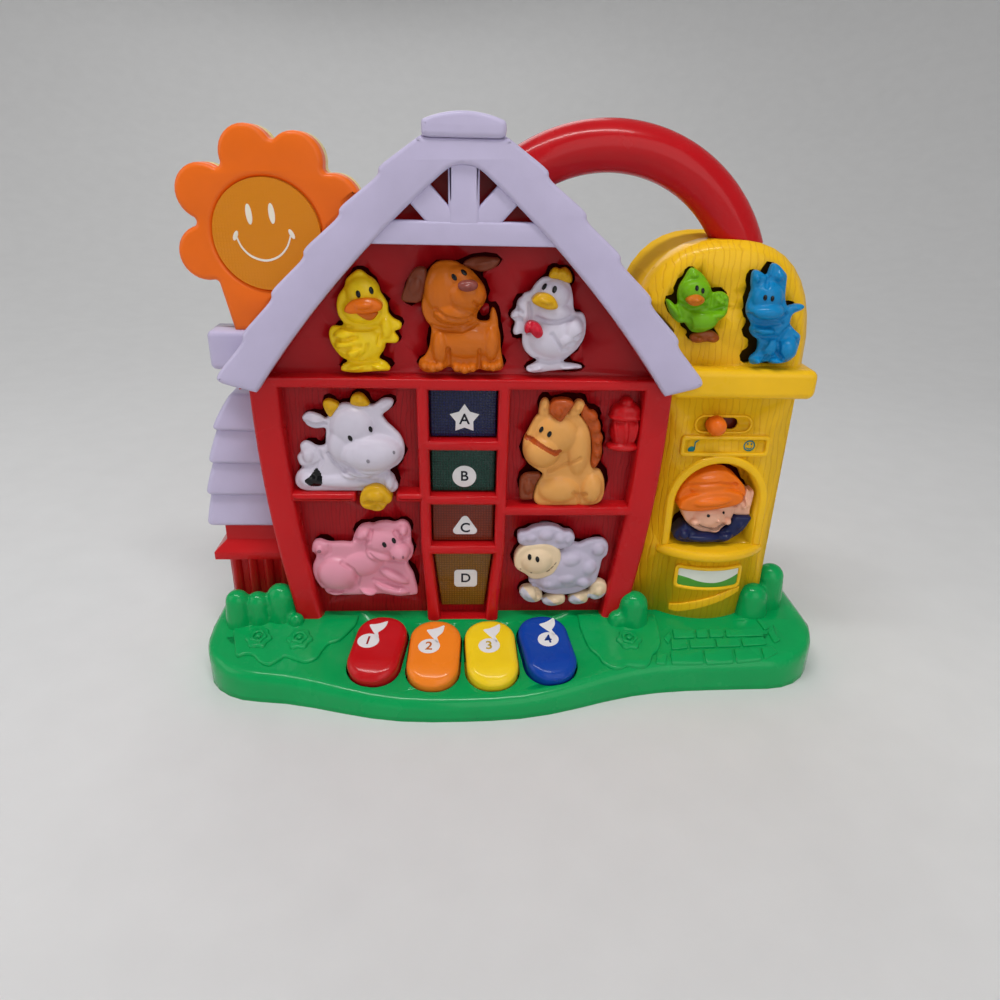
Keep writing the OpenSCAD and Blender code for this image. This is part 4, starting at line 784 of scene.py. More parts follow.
        figure("cow_button", "cow_white", STALL_FACE,
            [(white,
              [([(-86.8, 125), (-89.5, 126.4), (-94, 127.8), (-97, 126), (-97, 124.2), (-95, 121.6),
                 (-92, 120.4), (-89, 120.6), (-87.4, 120.4), (-87.6, 116.6), (-88.2, 112.8), (-90.4, 111.8),
                 (-92.4, 112), (-94.5, 113.4), (-97, 114.2), (-99.3, 112.5), (-99.2, 109.4), (-101, 107),
                 (-100.4, 103.7), (-99.4, 101.6), (-101.8, 99), (-103, 95.5), (-102, 92.2), (-98, 90.2),
                 (-90, 90.2), (-80, 90.2), (-70, 90.2), (-60, 89.4), (-57.2, 90.6), (-56.4, 93), (-58, 96.5),
                 (-59.8, 99.6), (-59.2, 101.2), (-55.5, 103.8), (-53.2, 108), (-53, 112.5), (-54.5, 117),
                 (-57.5, 120.5), (-60, 123), (-62, 126.2), (-61.4, 127.6), (-58.6, 129.8), (-57, 132.6),
                 (-58.3, 134.3), (-62, 134), (-66, 131.4), (-70, 131.8), (-76, 132), (-80, 131.8),
                 (-83.6, 129)], 5.8)],
              [(-75.6, 120.8, 10.6, 10.6, 0, 9.4), (-68, 109.6, 14.4, 9.2, 4, 12.6),
               (-81.8, 112.4, 5.6, 8.6, 0, 9.2), (-91.6, 124.1, 4.4, 2, -8, 7.4),
               (-60.6, 131.2, 3.4, 1.6, 36, 6.8), (-80.4, 95.4, 19, 4, 0, 7.8),
               (-95.8, 108, 3.2, 4.2, 0, 7.6), (-96.8, 96, 4.8, 4.4, 0, 8), (-60.2, 94.8, 2.8, 4.4, 0, 7.8),
               (-72, 100.4, 11.4, 3.6, 10, 9.6)]),
             (comb,
              [([(-84.9, 125.8), (-87.4, 130.3), (-87.2, 133.2), (-84.6, 133.8), (-80.6, 131.6),
                 (-82.4, 128.6)], 6.8),
               ([(-75.6, 132), (-75.2, 135.2), (-73, 136.7), (-70.5, 136.3), (-68.2, 133.5), (-67.6, 131.4),
                 (-71.6, 130.8)], 6.8)],
              [(-84.6, 130.4, 1.8, 2.6, 30, 7.6), (-71.8, 133.6, 3, 2.2, 0, 7.6)]),
             (moulded("bell_yellow", colours.comb),
              [([(-73.6, 88), (-72.6, 91.4), (-70, 94.1), (-66.5, 95), (-62.5, 93.6), (-59.9, 90.5),
                 (-58.9, 88.3), (-59.6, 86.6), (-61.5, 85.2), (-63, 83), (-66, 82), (-69, 82.8),
                 (-71.5, 83.4), (-73.2, 85.2)], 10.4)], [(-66.2, 89.6, 6, 4.2, 0, 12.4)])],
            eye_spots((-76.1, 117.5), (-67.3, 121.1), turn=20),
            [[(-79, 105.8), (-75, 101.8), (-70, 99.4), (-65, 98.6), (-60.4, 100.2)],
             [(-86.6, 109), (-84, 104.4), (-79, 100), (-73, 97), (-66, 95.8)],
             [(-95.4, 123.6), (-91, 122.6), (-87.4, 122.8)], [(-91.4, 111), (-90, 106), (-92.6, 101.6)],
             [(-100, 102), (-95, 102.4), (-91.6, 104)], [(-71.4, 86.4), (-67, 87.4), (-62, 86)],
             [(-67.6, 84.2), (-65.6, 85), (-64.4, 84)]],
            # the nostrils are dark beads of painted shade
            [(moulded("nostril_shade", shade(colours.white, 0.4)),
              [(-68.4, 108, 0.75, 0.95, 10), (-57.2, 111.3, 0.65, 0.85, 10)])],
            [(0, black_gloss(),
              [(-92.6, 101.6), (-90.5, 98.4), (-90.6, 94.2), (-92.6, 92.8), (-95.4, 93.6), (-98, 96.3),
               (-95.4, 98.6)])])
        mane = moulded("horse_mane", colours.mane)
        figure("horse_button", "horse_tan", STALL_FACE,
            [(moulded("horse_tan", colours.horse, rough=0.36),
              [([(0.4, 112), (0.7, 116), (2.4, 120), (4.5, 124.5), (6.8, 127.6), (12, 128.4), (20, 128.5),
                 (25, 127.6), (28.6, 124), (30.6, 119), (31.6, 112), (31.8, 105), (33.5, 102.2), (36.5, 101),
                 (38.6, 97), (39.3, 92), (39, 88), (37.6, 84.9), (34, 83.4), (28.5, 83.1), (20, 83),
                 (11, 82.9), (7.8, 84), (6.3, 86.6), (6.8, 91.5), (8.4, 96), (10, 98.6), (8.8, 100.3),
                 (5.5, 102.4), (2.4, 105.2), (0.7, 108.8)], 5.8),
               ([(7.2, 127.4), (7.2, 132), (8.6, 135), (10.8, 134.6), (12, 130.6), (11, 127)], 6.2),
               ([(19.8, 127.4), (21, 131), (23.8, 134.6), (26.8, 133.8), (27, 130.8), (24.6, 127.6),
                 (22, 126.4)], 6.4)],
              [(15.4, 118.6, 10.6, 9.8, 0, 9.6), (9.2, 110.8, 8.4, 8, 0, 12),
               (25.6, 110.6, 5.8, 13.4, 0, 8.2), (17.6, 91.6, 10.6, 7.2, 0, 9.2),
               (33, 92.4, 5.4, 7.8, 0, 9.8), (9.4, 131.6, 1.5, 2.6, 0, 7), (24.2, 131, 1.9, 2.6, -20, 7.4)]),
             (mane,
              [([(11.6, 129), (11.4, 132.4), (13.2, 134.8), (17, 135.5), (20.4, 135), (22, 133.4),
                 (20.4, 130.6), (18.4, 127.6), (16.6, 125), (14, 126.6)], 8.8),
               ([(26.6, 133), (29.8, 129.6), (33.6, 125.8), (34.9, 123), (34.8, 120.4), (36.5, 117.6),
                 (36.1, 114), (36.6, 110.6), (36, 106.6), (34, 102.6), (32.2, 102.8), (31.7, 106),
                 (31.8, 112), (30.8, 118), (28.8, 123), (25.8, 127.4)], 6.6)],
              [(15.2, 130, 2.6, 3.6, 12, 10.4), (18.4, 132.6, 3, 1.9, 20, 9.4),
               (30.6, 127, 3.2, 2.8, -38, 8), (32.8, 121.4, 2.6, 2.8, -10, 8), (34, 115.6, 2, 2.8, 0, 8),
               (34.2, 109.8, 2, 2.8, 0, 8), (33.6, 105, 1.6, 2.2, 0, 7.8)]),
             (moulded("horse_tail", colours.tail),
              [([(0, 86.4), (-0.6, 92), (-0.2, 96.6), (1.6, 98.8), (5, 99.6), (8.4, 99.4), (9.3, 97.8),
                 (8, 95.3), (6.8, 92), (6.2, 88.5), (5.8, 86.2), (3, 85.8)], 5.4)],
              [(3.4, 93, 2.8, 5, 0, 7)])], eye_spots((8.1, 121.7), (11.6, 120.1), turn=-20),
            [[(26.4, 108), (22, 105.2), (17, 102.6), (12.6, 100.9)], [(24.4, 91.2), (27.2, 88)],
             [(29.8, 90.6), (27.2, 88)], [(27.2, 88.4), (27.6, 84)],
             [(1, 117.6), (6, 116.2), (10, 114), (15.4, 111.4)]], (),
            [(0, mane,
              [(0.2, 116.6), (0.9, 118.4), (6, 117.2), (10, 115.2), (14, 113), (16.6, 112.9), (17.9, 111.7),
               (16.6, 110.3), (14.6, 110.1), (12.6, 111.2), (9, 113.4), (5, 115.3)])])
        figure("pig_button", "pig_pink", STALL_FACE,
            [(moulded("pig_pink", colours.pig, rough=0.34),
              [([(-98.2, 60.5), (-97.2, 63.6), (-94.5, 64.8), (-91.6, 63.8), (-89, 63.2), (-84, 63.4),
                 (-79.4, 63.2), (-78.6, 65.4), (-77, 69.3), (-74.5, 72.3), (-71, 73.4), (-68.8, 73),
                 (-66, 74.2), (-62, 74.5), (-58.6, 73.8), (-55, 75.1), (-52.3, 73.4), (-51.1, 69.8),
                 (-51.2, 67.4), (-51, 63), (-50.2, 60), (-50.8, 56), (-53, 52.8), (-52.4, 50), (-50.7, 46.5),
                 (-49.6, 42), (-48.7, 36.8), (-48.9, 34.9), (-50.4, 34.4), (-54, 34), (-57.5, 33.7),
                 (-62, 34.4), (-66, 35.1), (-70, 34.9), (-80, 34.5), (-88, 34.4), (-92, 35), (-94, 37.2),
                 (-96.8, 41), (-98.6, 46), (-98.5, 51), (-96.6, 55.8), (-98.2, 58.2)], 5.8)],
              [(-87, 47, 10, 9.6, 0, 10), (-74.6, 52.4, 11.6, 7.4, 14, 8.6), (-64, 64.6, 9.8, 7.8, 0, 9.8),
               (-56.4, 59.8, 5.2, 5, 0, 12.4), (-66.4, 57.6, 7.4, 3.6, -16, 10),
               (-73.4, 68.8, 4.4, 2.8, 35, 9.2), (-54.6, 70.8, 2.5, 3.2, 0, 9.2),
               (-59.6, 46, 9, 3.2, -30, 9.2), (-60.8, 39.2, 9.4, 2.9, -16, 10), (-88, 36.6, 4.6, 1.4, 0, 8),
               (-72.4, 37.2, 4.4, 1.5, -14, 9.2), (-94.2, 60.4, 2.8, 3, 0, 8)])],
            eye_spots((-63.3, 64.9), (-58.9, 66.6), turn=20),
            [[(-70.4, 59), (-67, 55.8), (-61.4, 53.8), (-56, 53.2), (-53.4, 53.6)],
             [(-69.6, 43.8), (-62, 41.8), (-57.6, 40.4)],
             [(-84, 54), (-79, 50.6), (-76.6, 45), (-77.6, 40.6), (-81, 37.8)],
             [(-93.6, 38), (-88, 38.6), (-82, 37.6)], [(-78.4, 65.6), (-74, 64), (-70.4, 66), (-69.4, 70.6)],
             [(-58.4, 70), (-56, 66.8), (-51.6, 67)],
             [(-97.4, 57.6), (-93, 56.4), (-89.8, 58.6), (-89.6, 62.4)]],
            [(moulded("pig_shade", shade(colours.pig, 0.4)),
              [(-94.2, 60.3, 1, 0.9, 0), (-59, 58.8, 0.7, 0.9, 10), (-54.6, 59.4, 0.6, 0.9, 10)])])
        hoof = moulded("hoof_white", tint("#c9c6d2"))
        cream = moulded("sheep_cream", colours.face, rough=0.36)
        figure("sheep_button", "sheep_white", STALL_FACE,
            [(moulded("sheep_fleece", colours.fleece, rough=0.42),
              [([(-0.8, 67), (0, 69.6), (3.5, 70.4), (6, 72), (10, 73.2), (14.5, 73.5), (18.5, 72.4),
                 (21.5, 70.4), (24.5, 70.1), (26.7, 67.6), (26, 64.5), (23.5, 62.2), (19, 61), (12, 62),
                 (5, 62.4), (0.4, 63.8)], 8),
               ([(26, 63.6), (29, 62.8), (33, 64.5), (37, 65.5), (41, 65.2), (43.5, 62), (43.3, 57),
                 (41.3, 54.5), (40.6, 50), (39.8, 45.5), (38.5, 41), (33, 37), (28, 35), (20, 34.4),
                 (13, 36), (8, 39), (5.6, 43), (10, 47), (17, 50), (20, 56), (22, 62)], 6)],
              [(25.4, 49.6, 13.4, 11.6, 0, 9), (17.6, 43.8, 9.6, 6.4, 0, 9), (38.6, 60.4, 3.8, 4, 0, 8.4),
               (5.6, 67.4, 4.2, 3.2, 0, 9.2), (12.8, 69, 5, 3.6, 0, 9.8), (19.6, 67.2, 4.2, 3.6, 0, 9.4),
               (1.8, 66.4, 2, 2.4, 0, 8.6), (23.6, 66.2, 2.4, 3, -20, 9), (25.6, 55, 6.6, 4.6, 16, 9.6),
               (34, 50.6, 5, 5, 30, 9.4), (24, 45.4, 6.8, 4.2, 8, 9.8), (32, 43, 5, 3.8, -20, 9.4),
               (15.4, 42.2, 5.2, 3.4, 0, 9.6)]),
             (cream,
              [([(-2, 55), (-0.9, 59.2), (2.5, 63), (8, 64.4), (14, 64.6), (18.8, 62), (20.6, 57.5),
                 (19.8, 51.7), (16.4, 47.2), (11, 45), (6.6, 45.2), (3.2, 48), (0.2, 49.8), (-1.6, 52)],
                8.6)], [(8.8, 55.2, 9, 7.8, 0, 11.8)]),
             (moulded("sheep_feet", shade(colours.face, 0.96)),
              [([(1.2, 36.5), (3, 39.2), (7, 39.7), (11.5, 37.4), (12.8, 34.5), (11.8, 31.7), (9, 30.5),
                 (5.6, 31), (2.7, 33.3)], 7),
               ([(12.7, 31), (13.7, 33), (17, 34.5), (23, 35), (24.2, 32.5), (23.3, 30.2), (19, 28.7),
                 (15, 29.1)], 7.4),
               ([(25.7, 31.8), (27.1, 34.1), (30.5, 35.6), (34.8, 36.3), (35.7, 33.5), (34.8, 30.8),
                 (31, 29.5), (27.6, 30)], 7.4),
               ([(35.6, 34.8), (36.2, 38), (37, 41), (40, 42.9), (43.8, 41.3), (44.7, 37.5), (43.3, 34),
                 (40, 32.1), (36.9, 32.6)], 7)],
              [(7, 35.2, 4.6, 3.4, -28, 8.6), (18.6, 32, 4.4, 2.2, 0, 8.8), (30.8, 33, 3.8, 2.4, 0, 8.8),
               (40.4, 37.4, 3.2, 4, 0, 8.6)])], eye_spots((5.1, 58.7), (8.8, 58)),
            [[(10.6, 34.6), (9.6, 39)], [(2, 40.6), (8, 41), (13, 37)]],
            [(moulded("sheep_shade", shade(colours.face, 0.4)),
              [(1.2, 51.2, 0.5, 0.35, -20), (6.3, 49.8, 0.6, 0.35, 20), (14.6, 50.2, 1.2, 0.26, 34),
               (16.4, 52, 1.2, 0.26, 50), (17.8, 54, 1, 0.24, 58)])],
            [(2, hoof, [(0.4, 36.6), (2.4, 39.4), (5, 37.6), (7.4, 34.4), (9.4, 30), (5, 29.6), (1.8, 33)]),
             (2, hoof, [(12, 31), (13, 33.6), (15.5, 33.4), (18.4, 31.6), (21, 28), (14.8, 27.6)]),
             (2, hoof, [(25, 31.8), (26.2, 34.6), (29, 34.6), (32, 32.8), (34.8, 29.6), (27.4, 28.8)]),
             (2, hoof, [(35, 35.4), (40, 35.6), (45.4, 36.2), (43.8, 33), (40, 31), (36.4, 31.8)])])


class FARM_OT_silo_figures(FarmOperator, bpy.types.Operator):
    """Models the bird and cat buttons of the dome and the farmer at the window"""
    bl_idname = "farm.silo_figures"
    bl_label = "Silo figures"

    def make(self, colours, sizes):
        shadow = tint("#8a6a18")
        figure("bird_button", "bird_green", STALL_FACE,
            [(moulded("bird_green", colours.bird),
              [([(66.8, 190.8), (68.6, 191.4), (72.3, 189.2), (75, 186.3), (77, 182.8), (78.4, 181.5),
                 (80, 182), (82.6, 181.8), (84.8, 180), (85.1, 178), (85.2, 175), (84.9, 172.6),
                 (83.4, 170.8), (81, 169.2), (79.5, 166.7), (76, 165), (72, 164.8), (69.8, 166.2),
                 (68, 168.8), (65, 168.8), (62, 171.2), (60, 174.2), (58.6, 177.4), (58.5, 178.6),
                 (60.2, 178.2), (63, 176), (63.6, 177.4), (63, 180.4), (63.4, 184), (65.2, 187.5)], 5.4)],
              [(70.2, 182.4, 6.8, 5.4, 0, 9), (68.8, 188.6, 1.8, 1.9, 18, 7), (74.6, 170.4, 7.4, 5, 0, 8.8),
               (62.6, 174, 5, 1.7, -46, 7.2), (81.6, 178.8, 2.6, 2.4, 10, 7.2),
               (80.6, 172.6, 4, 1.6, 12, 8.6)]),
             (moulded("bird_beak", colours.bird_beak),
              [([(65.7, 179), (67.1, 180.9), (70, 181.6), (72.8, 180.3), (73.4, 178.7), (71.4, 177),
                 (68.1, 176.8)], 10.2)], [(69.5, 179.4, 3.2, 1.8, 0, 12)]),
             (moulded("bird_feet", colours.bird_feet),
              [([(70.8, 163.6), (71.4, 161), (74.5, 160.1), (78, 160.8), (81.6, 160.3), (83.6, 161.8),
                 (83.2, 163.4), (80, 165.6), (75, 165.4)], 5)],
              [(74.2, 162.2, 2.6, 1.5, 0, 6.6), (80, 162.2, 2.8, 1.5, 0, 6.6)])],
            [(69.4, 184, 0.75, 1.15, 8), (72, 183, 0.75, 1.15, 8)],
            [[(65.4, 171.4), (64, 175.6)], [(71, 174.8), (77, 174.4), (83.6, 176)],
             [(64.4, 177), (69, 174.6), (75, 176.2)], [(77.8, 181), (78, 176.6)],
             [(69.8, 167), (68.6, 170.6)], [(80, 180.6), (81.6, 178.6)], [(82.4, 180), (83.6, 178.2)]],
            foot_shade_colour=shadow)
        figure("cat_button", "cat_blue", STALL_FACE,
            [(moulded("cat_blue", colours.cat),
              [([(93.5, 186), (93.4, 190), (94.6, 191.1), (97, 190.3), (99.6, 189), (100.4, 191.8),
                 (101.3, 193.8), (103.5, 193.4), (106.4, 191), (108, 189), (108.4, 184.5), (108.9, 180),
                 (110.5, 176.5), (112, 177), (114.6, 177.5), (117.3, 177.2), (118, 176.1), (116.6, 174.8),
                 (113.4, 173.2), (113, 169.6), (115.6, 166.6), (118.3, 164.6), (118.7, 162), (118.4, 158),
                 (117.6, 155), (114.3, 152.5), (109, 151.7), (105.6, 152.7), (103.5, 151.9), (99.3, 151.4),
                 (98.2, 152.6), (98.4, 154.6), (100.6, 157), (100.8, 160), (100.2, 162.2), (97.8, 163.7),
                 (96.1, 166.2), (96.5, 168.6), (95.3, 170.4), (93.7, 173), (93.1, 176.5), (93.7, 180),
                 (94.2, 183)], 5.8)],
              [(100.8, 180, 7.2, 7, 0, 9.6), (101.2, 174.6, 8, 3.8, 0, 12), (95.2, 187.6, 1.4, 2.4, 8, 7.2),
               (104.4, 189, 2.8, 2.8, -20, 7.4), (101.6, 166.6, 5, 1.7, -4, 10.2),
               (105.4, 159.6, 4, 5, 0, 8.6), (113, 158.6, 4.8, 5.4, 0, 10), (100.4, 153.6, 2, 1.6, 0, 9.4),
               (109, 153.8, 3.6, 1.4, 0, 9.8), (114.8, 175.8, 2.2, 1, 4, 7),
               (116.4, 164, 1.7, 2, 40, 7.4)])], [(98.4, 180.7, 0.8, 1.2, 5), (101.4, 180.4, 0.8, 1.2, 5)],
            [[(94.2, 173.2), (97, 170.8), (102, 170.2), (107, 171.2), (109.8, 173.4)],
             [(96.8, 164.8), (102, 163.4), (107.4, 164)], [(95.6, 169.4), (102, 168.8), (109, 169.6)],
             [(104, 163.6), (101.6, 158.6)], [(108.4, 161.6), (108.6, 157), (111, 154.6)],
             [(113.4, 169), (110.4, 166), (109, 163.4)], [(103.6, 152.4), (104.6, 155.4)],
             [(100.2, 188.4), (99, 185)]], foot_shade_colour=shadow)
        skin = moulded("farmer_skin", colours.skin, rough=0.4)
        shirt = moulded("farmer_shirt", colours.shirt)
        figure("farmer_button", "farmer_paint", -2,
            [(skin,
              [([(79.6, 80), (79.6, 76), (81.6, 72.4), (85, 69.4), (90, 66.8), (94.6, 65.8), (97, 66.6),
                 (100, 69.4), (103, 72.8), (104.2, 77), (103.6, 81), (92, 83)], 11),
               ([(104.6, 76), (105, 80), (106.4, 83), (108, 86.4), (109.2, 89.6), (110.6, 88), (112, 89),
                 (113, 87.4), (112.8, 83), (112.4, 78), (112.2, 75.6)], 10)],
              [(92, 75.2, 10, 7, 0, 14.4), (95.6, 69, 4, 2.2, 8, 13.6), (95.6, 75, 1.7, 1.4, 0, 16),
               (109, 82, 2.6, 4.6, -6, 12), (85, 73.4, 3.2, 2.6, 0, 14.6), (101, 73.6, 2.6, 2.4, 0, 14.6)]),
             (moulded("farmer_cap", colours.cap),
              [([(76, 84), (77, 89.6), (80.4, 94.6), (85.6, 98), (91.6, 99.5), (97.4, 99.3), (101, 97.2),
                 (104.6, 94.4), (107.4, 91), (108.6, 87), (106, 84.6), (96, 82.4), (84, 82)], 11),
               ([(75.8, 82), (77, 85.2), (82, 88), (89, 89.8), (97, 90.8), (103.4, 89.6), (106.4, 87.2),
                 (105.8, 84.6), (102.4, 82.8), (96, 81.2), (88, 80), (80.6, 79.8), (77, 80.6)], 15)],
              [(91, 92, 13.6, 7, 6, 14), (91, 85.2, 14, 3.6, 6, 17.4), (95, 97, 7, 2, -10, 12)]),
             (shirt,
              [([(76.2, 64.4), (76.8, 67.4), (80, 71.2), (82, 71.4), (85.4, 68.6), (91, 66), (95.4, 65.4),
                 (98.8, 68), (103, 71.2), (104.4, 75.6), (112.4, 75.6), (112.4, 73), (109.8, 68),
                 (105.5, 64.2), (101.4, 61.8), (95, 61.6), (87, 61.6), (80, 62)], 12)],
              [(90.6, 65, 11.4, 3, 0, 15.6), (107.6, 71, 3, 4.4, -34, 13), (80.6, 66.6, 3.6, 3.6, 0, 15),
               (101, 65.4, 5, 3, 18, 15)])], [(90.6, 77.5, 0.8, 0.75, 0), (98.6, 78, 0.8, 0.75, 0)],
            [[(77, 91.4), (85, 93.2), (94, 94.2), (103, 92.4)], [(106.6, 86.4), (108.2, 82)],
             [(110.6, 87.6), (110.4, 82.6)]], (),
            [(0, moulded("farmer_mouth", shade(colours.skin, 0.45), coat=0),
              [(86.6, 72.8), (90, 70.1), (95, 69.1), (99.6, 70.6), (101.8, 73.4), (99, 71.8), (95, 70.4),
               (90.4, 71.2)])])


class FARM_OT_base(FarmOperator, bpy.types.Operator):
    """Softens the green base and adds bushes, flowers, grass edges and paving"""
    bl_idname = "farm.base"
    bl_label = "Base"

    def make(self, colours, sizes):
        green = moulded("base_green", colours.base, rough=0.24, coat=0.3)
        shell = copy_node("base_shell", "base_moulding")
        domes = ((-133, -24.5, 6.4), (-122.5, -25, 6), (-112, -24.5, 6.4), (-105, -25.5, 4.6),
                 (55.5, -24.5, 6.6), (47.5, -25, 4.8), (63, -24, 4.2), (129.8, -14.5, 6.5),
                 (118.5, -23.5, 6.6))
        def level(x, y, z):
            deck = DECK_Z + min(0, y - APRON_Y) * APRON_SLOPE
            if z > deck and any(math.hypot(x - bx, y - by) < r + 0.8 for bx, by, r in domes):
                return x, y, deck
            return x, y, z
        reshape(shell, level)
        with editing(shell):
            bpy.ops.mesh.dissolve_degenerate(threshold=1e-5)
        place(paint(shell, green), "base_moulding", 35, HOUSING, "base_green", "base_shell")
        pan_green = moulded("base_pan_green", shade(colours.base, 0.85))
        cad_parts["base_pan"].material_slots[0].material = pan_green
        left = [(-136.6, -24.7), (-134, -31.9), (-131.6, -38.6), (-127.8, -37.6), (-124, -38.4),
                (-120.8, -41.6), (-115.8, -43.8), (-111.8, -41.1), (-109.4, -39.2), (-105.2, -40.5),
                (-99.3, -42.4), (-94.6, -40.2), (-92.4, -35.5), (-90, -31.8), (-85.6, -29.9), (-82, -25.4),
                (-78.8, -20.3), (-78, -16)]
        right = [(31, -22), (32.6, -30), (34.4, -35.9), (37.7, -39.9), (39.4, -43.7), (43, -46.8),
                 (46.9, -47.3), (50.8, -45.8), (54.5, -46.1), (58.9, -45.9), (62, -43.7), (64, -39.6),
                 (66.8, -37), (69.2, -32.7), (69.9, -28.2), (70, -19.8), (70, -16)]
        lawns = []
        for edge, x0, x1 in ((left, -137, -78), (right, 31, 70)):
            lawn = soft_plate("lawn", [flowing(edge) + [(x1, -13.5), (x0, -13.5)]], -1.2, 1.5, 0.9)
            slices(lawn, (0, 1, 0), -46.2, -14.2, 3)
            lawns.append(lawn)
        blooms = []
        for x, y in ((-123.4, -29.4), (-104, -30.2), (53.8, -31.5)):
            blooms.append(soft_plate("bloom", [ring(x, y, 5.8, 5.6, 60, 6, 0.1)], -1, 2.8, 0.9))
            collar = [ring(x, y, 3.7, 3.5, 48, 5, 0.1), ring(x, y, 2.2, 2.1, 32)[::-1]]
            blooms.append(soft_plate("bloom", collar, 0, 3.8, 0.6))
            blooms.append(soft_plate("bloom", [ring(x, y, 1.3, 1.3, 20)], 0, 4.1, 0.6))
        bricks = []
        for corners in (
                [(77, -23.6), (87.5, -24.3), (86.9, -29.1), (76.6, -29.4)],
                [(88.6, -23.7), (94.4, -23.7), (93.6, -28.7), (87.9, -29.1)],
                [(95.3, -23.7), (102.2, -24.1), (101.6, -28.6), (94.4, -28.7)],
                [(103.3, -24.1), (121.2, -23.2), (121.7, -28.2), (102.7, -28.6)],
                [(121.1, -17.4), (123.8, -17.4), (126.4, -22.9), (123.1, -24.6)],
                [(124.2, -25.6), (127.4, -24), (128.9, -30.9), (125.5, -32.6)],
                [(74.7, -30.5), (82.6, -30.2), (82.2, -35.2), (73.8, -36.2)],
                [(83.7, -30.2), (96.1, -29.8), (95.7, -34.8), (83.3, -35.2)],
                [(97, -29.8), (108.8, -29.6), (108.4, -34.4), (96.6, -34.8)],
                [(109.8, -29.6), (121.2, -28.9), (121.6, -33.4), (109.4, -34.4)],
                [(66.5, -38.1), (71.3, -38.6), (69.3, -44.3), (64.5, -44.2)],
                [(72.9, -37.2), (88.5, -36.4), (87.9, -43.7), (72.2, -44.1)],
                [(89.4, -36.4), (103.2, -35.8), (102.4, -43.2), (88.9, -43.8)],
                [(104.4, -36), (116.8, -35.3), (116.2, -42.2), (103.7, -43.2)],
                [(118, -35.3), (123.6, -34.6), (125, -38.8), (117.5, -41.8)],
                [(71.2, -29.2), (75.4, -25), (75.4, -29), (73.2, -32.6)]):
            bricks.append(soft_plate("brick", [rounded(corners[::-1], 0.9)], -0.8, 1, 0.5))
        relief = join(*(lawns + blooms + bricks))
        drape(relief, shell)
        shrubs = []
        root = 19
        for stems in (((-135, -16.6, 38.8, 6.6), (-125.6, -15.6, 37.2, 6.4), (-115.2, -13.4, 40.2, 7.6),
                       (-107.4, -18.6, 27.2, 4.2)),
                      ((58, -17, 37.6, 8), (50, -18.8, 28, 5.2)),
                      ((120.6, -9.2, 37.4, 8.6), (131.2, -1.6, 44.4, 8))):
            balls = []
            for x, y, top, r in stems:
                for i in range(9):
                    t = i / 8
                    thick = r * (1.06 - 0.18 * t)
                    balls.append((x, y, root + (top - 0.8 * r - root) * t, thick, thick * 0.92, thick))
            shrubs.append(clump("shrub", balls))
        relief = join(relief, *shrubs)
        place(paint(relief, green), "base_relief", 40, HOUSING, "base_green")


class FARM_OT_keys(FarmOperator, bpy.types.Operator):
    """Models the four piano keys with their note stickers"""
    bl_idname = "farm.keys"
    bl_label = "Keys"

    def make(self, colours, sizes):
        fan_y, fan_r, step = 211.3, 232, 6.1
        rise = 0.058
        for i, (key, code, nx, ny) in enumerate((
                ("key_red", "#c8181e", -4.6, -17.4), ("key_orange", "#ff8a26", -2.4, -17.6),
                ("key_yellow", "#ffd824", -0.9, -17.3), ("key_blue", "#0d44a8", 0.9, -16.7))):
            finish = moulded(key, tint(code), rough=0.24, coat=0.26)
            a = math.radians((1.5 - i) * step)
            y = fan_y - fan_r * math.cos(a)
            spot = Vector((BARN_X - fan_r * math.sin(a), y, DECK_Z + (y - APRON_Y) * APRON_SLOPE)) * MM
            seat = (Matrix.Translation(spot) @ Matrix.Rotation(-a, 4, "Z")
                    @ Matrix.Rotation(math.atan(APRON_SLOPE), 4, "X"))
            foot = copy_node(key, key + "_foot")
            chop(foot, seat @ Vector((0, 0, -0.0012)), seat.to_3x3() @ Vector((0, 0, 1)))
            cap = soft_plate(key + "_cap", [oblong(-12, -38.5, 12, 0, 11, 10)], -4.2, 7.6, 3.4, 5)
            slices(cap, (0, 1, 0), -38, -1, 1.5)
            def lean(x, y, z):
                if z <= 0.5:
                    return x, y, z
                roll = max(0, -y - 27) / 11.5
                height = 4.7 - y * rise - 2.6 * roll ** 2.2
                return x, y, 0.5 + (z - 0.5) * (height - 0.5) / 7.1
            reshape(cap, lean)
            for part in (cap, foot):
                paint(part, finish)
            note = soft_plate("note", [ring(nx, ny, 5.1, 4.5, 32, turn=12)], 0, 0.3, 0.05, 1)
            flag = soft_plate("flag", [contour([(nx + x, ny + y) for x, y in (
                (3.4, 2), (1.8, 4.6), (-0.5, 7.6), (-2, 10.2), (0.6, 10.9), (3.4, 12.1), (6, 13.6), (6.1, 11),
                (5.4, 8.6), (4, 6.7), (3.3, 5.6), (4.2, 3))], 3)], 0, 0.3, 0.05, 1)
            mark = paint(join(note, flag), sticker_white())
            ink = moulded(key + "_print", shade(tint(code), 0.55), coat=0)
            digit = letter("digit", str(i + 1), nx - 0.1, ny - 0.1, 7, ink)
            slices(mark, (0, 1, 0), -24, -3, 1.5)
            reshape(mark, lambda x, y, z: (x, y, 4.72 - y * rise + z * 0.4))
            reshape(digit, lambda x, y, z: (x, y, 4.86 - y * rise + z * 0.4))
            for part in (cap, mark, digit):
                settle(part, seat)
            piece = join(foot, cap, mark, digit)
            place(piece, key + "_moulding", 40, key + "_body", key, key)


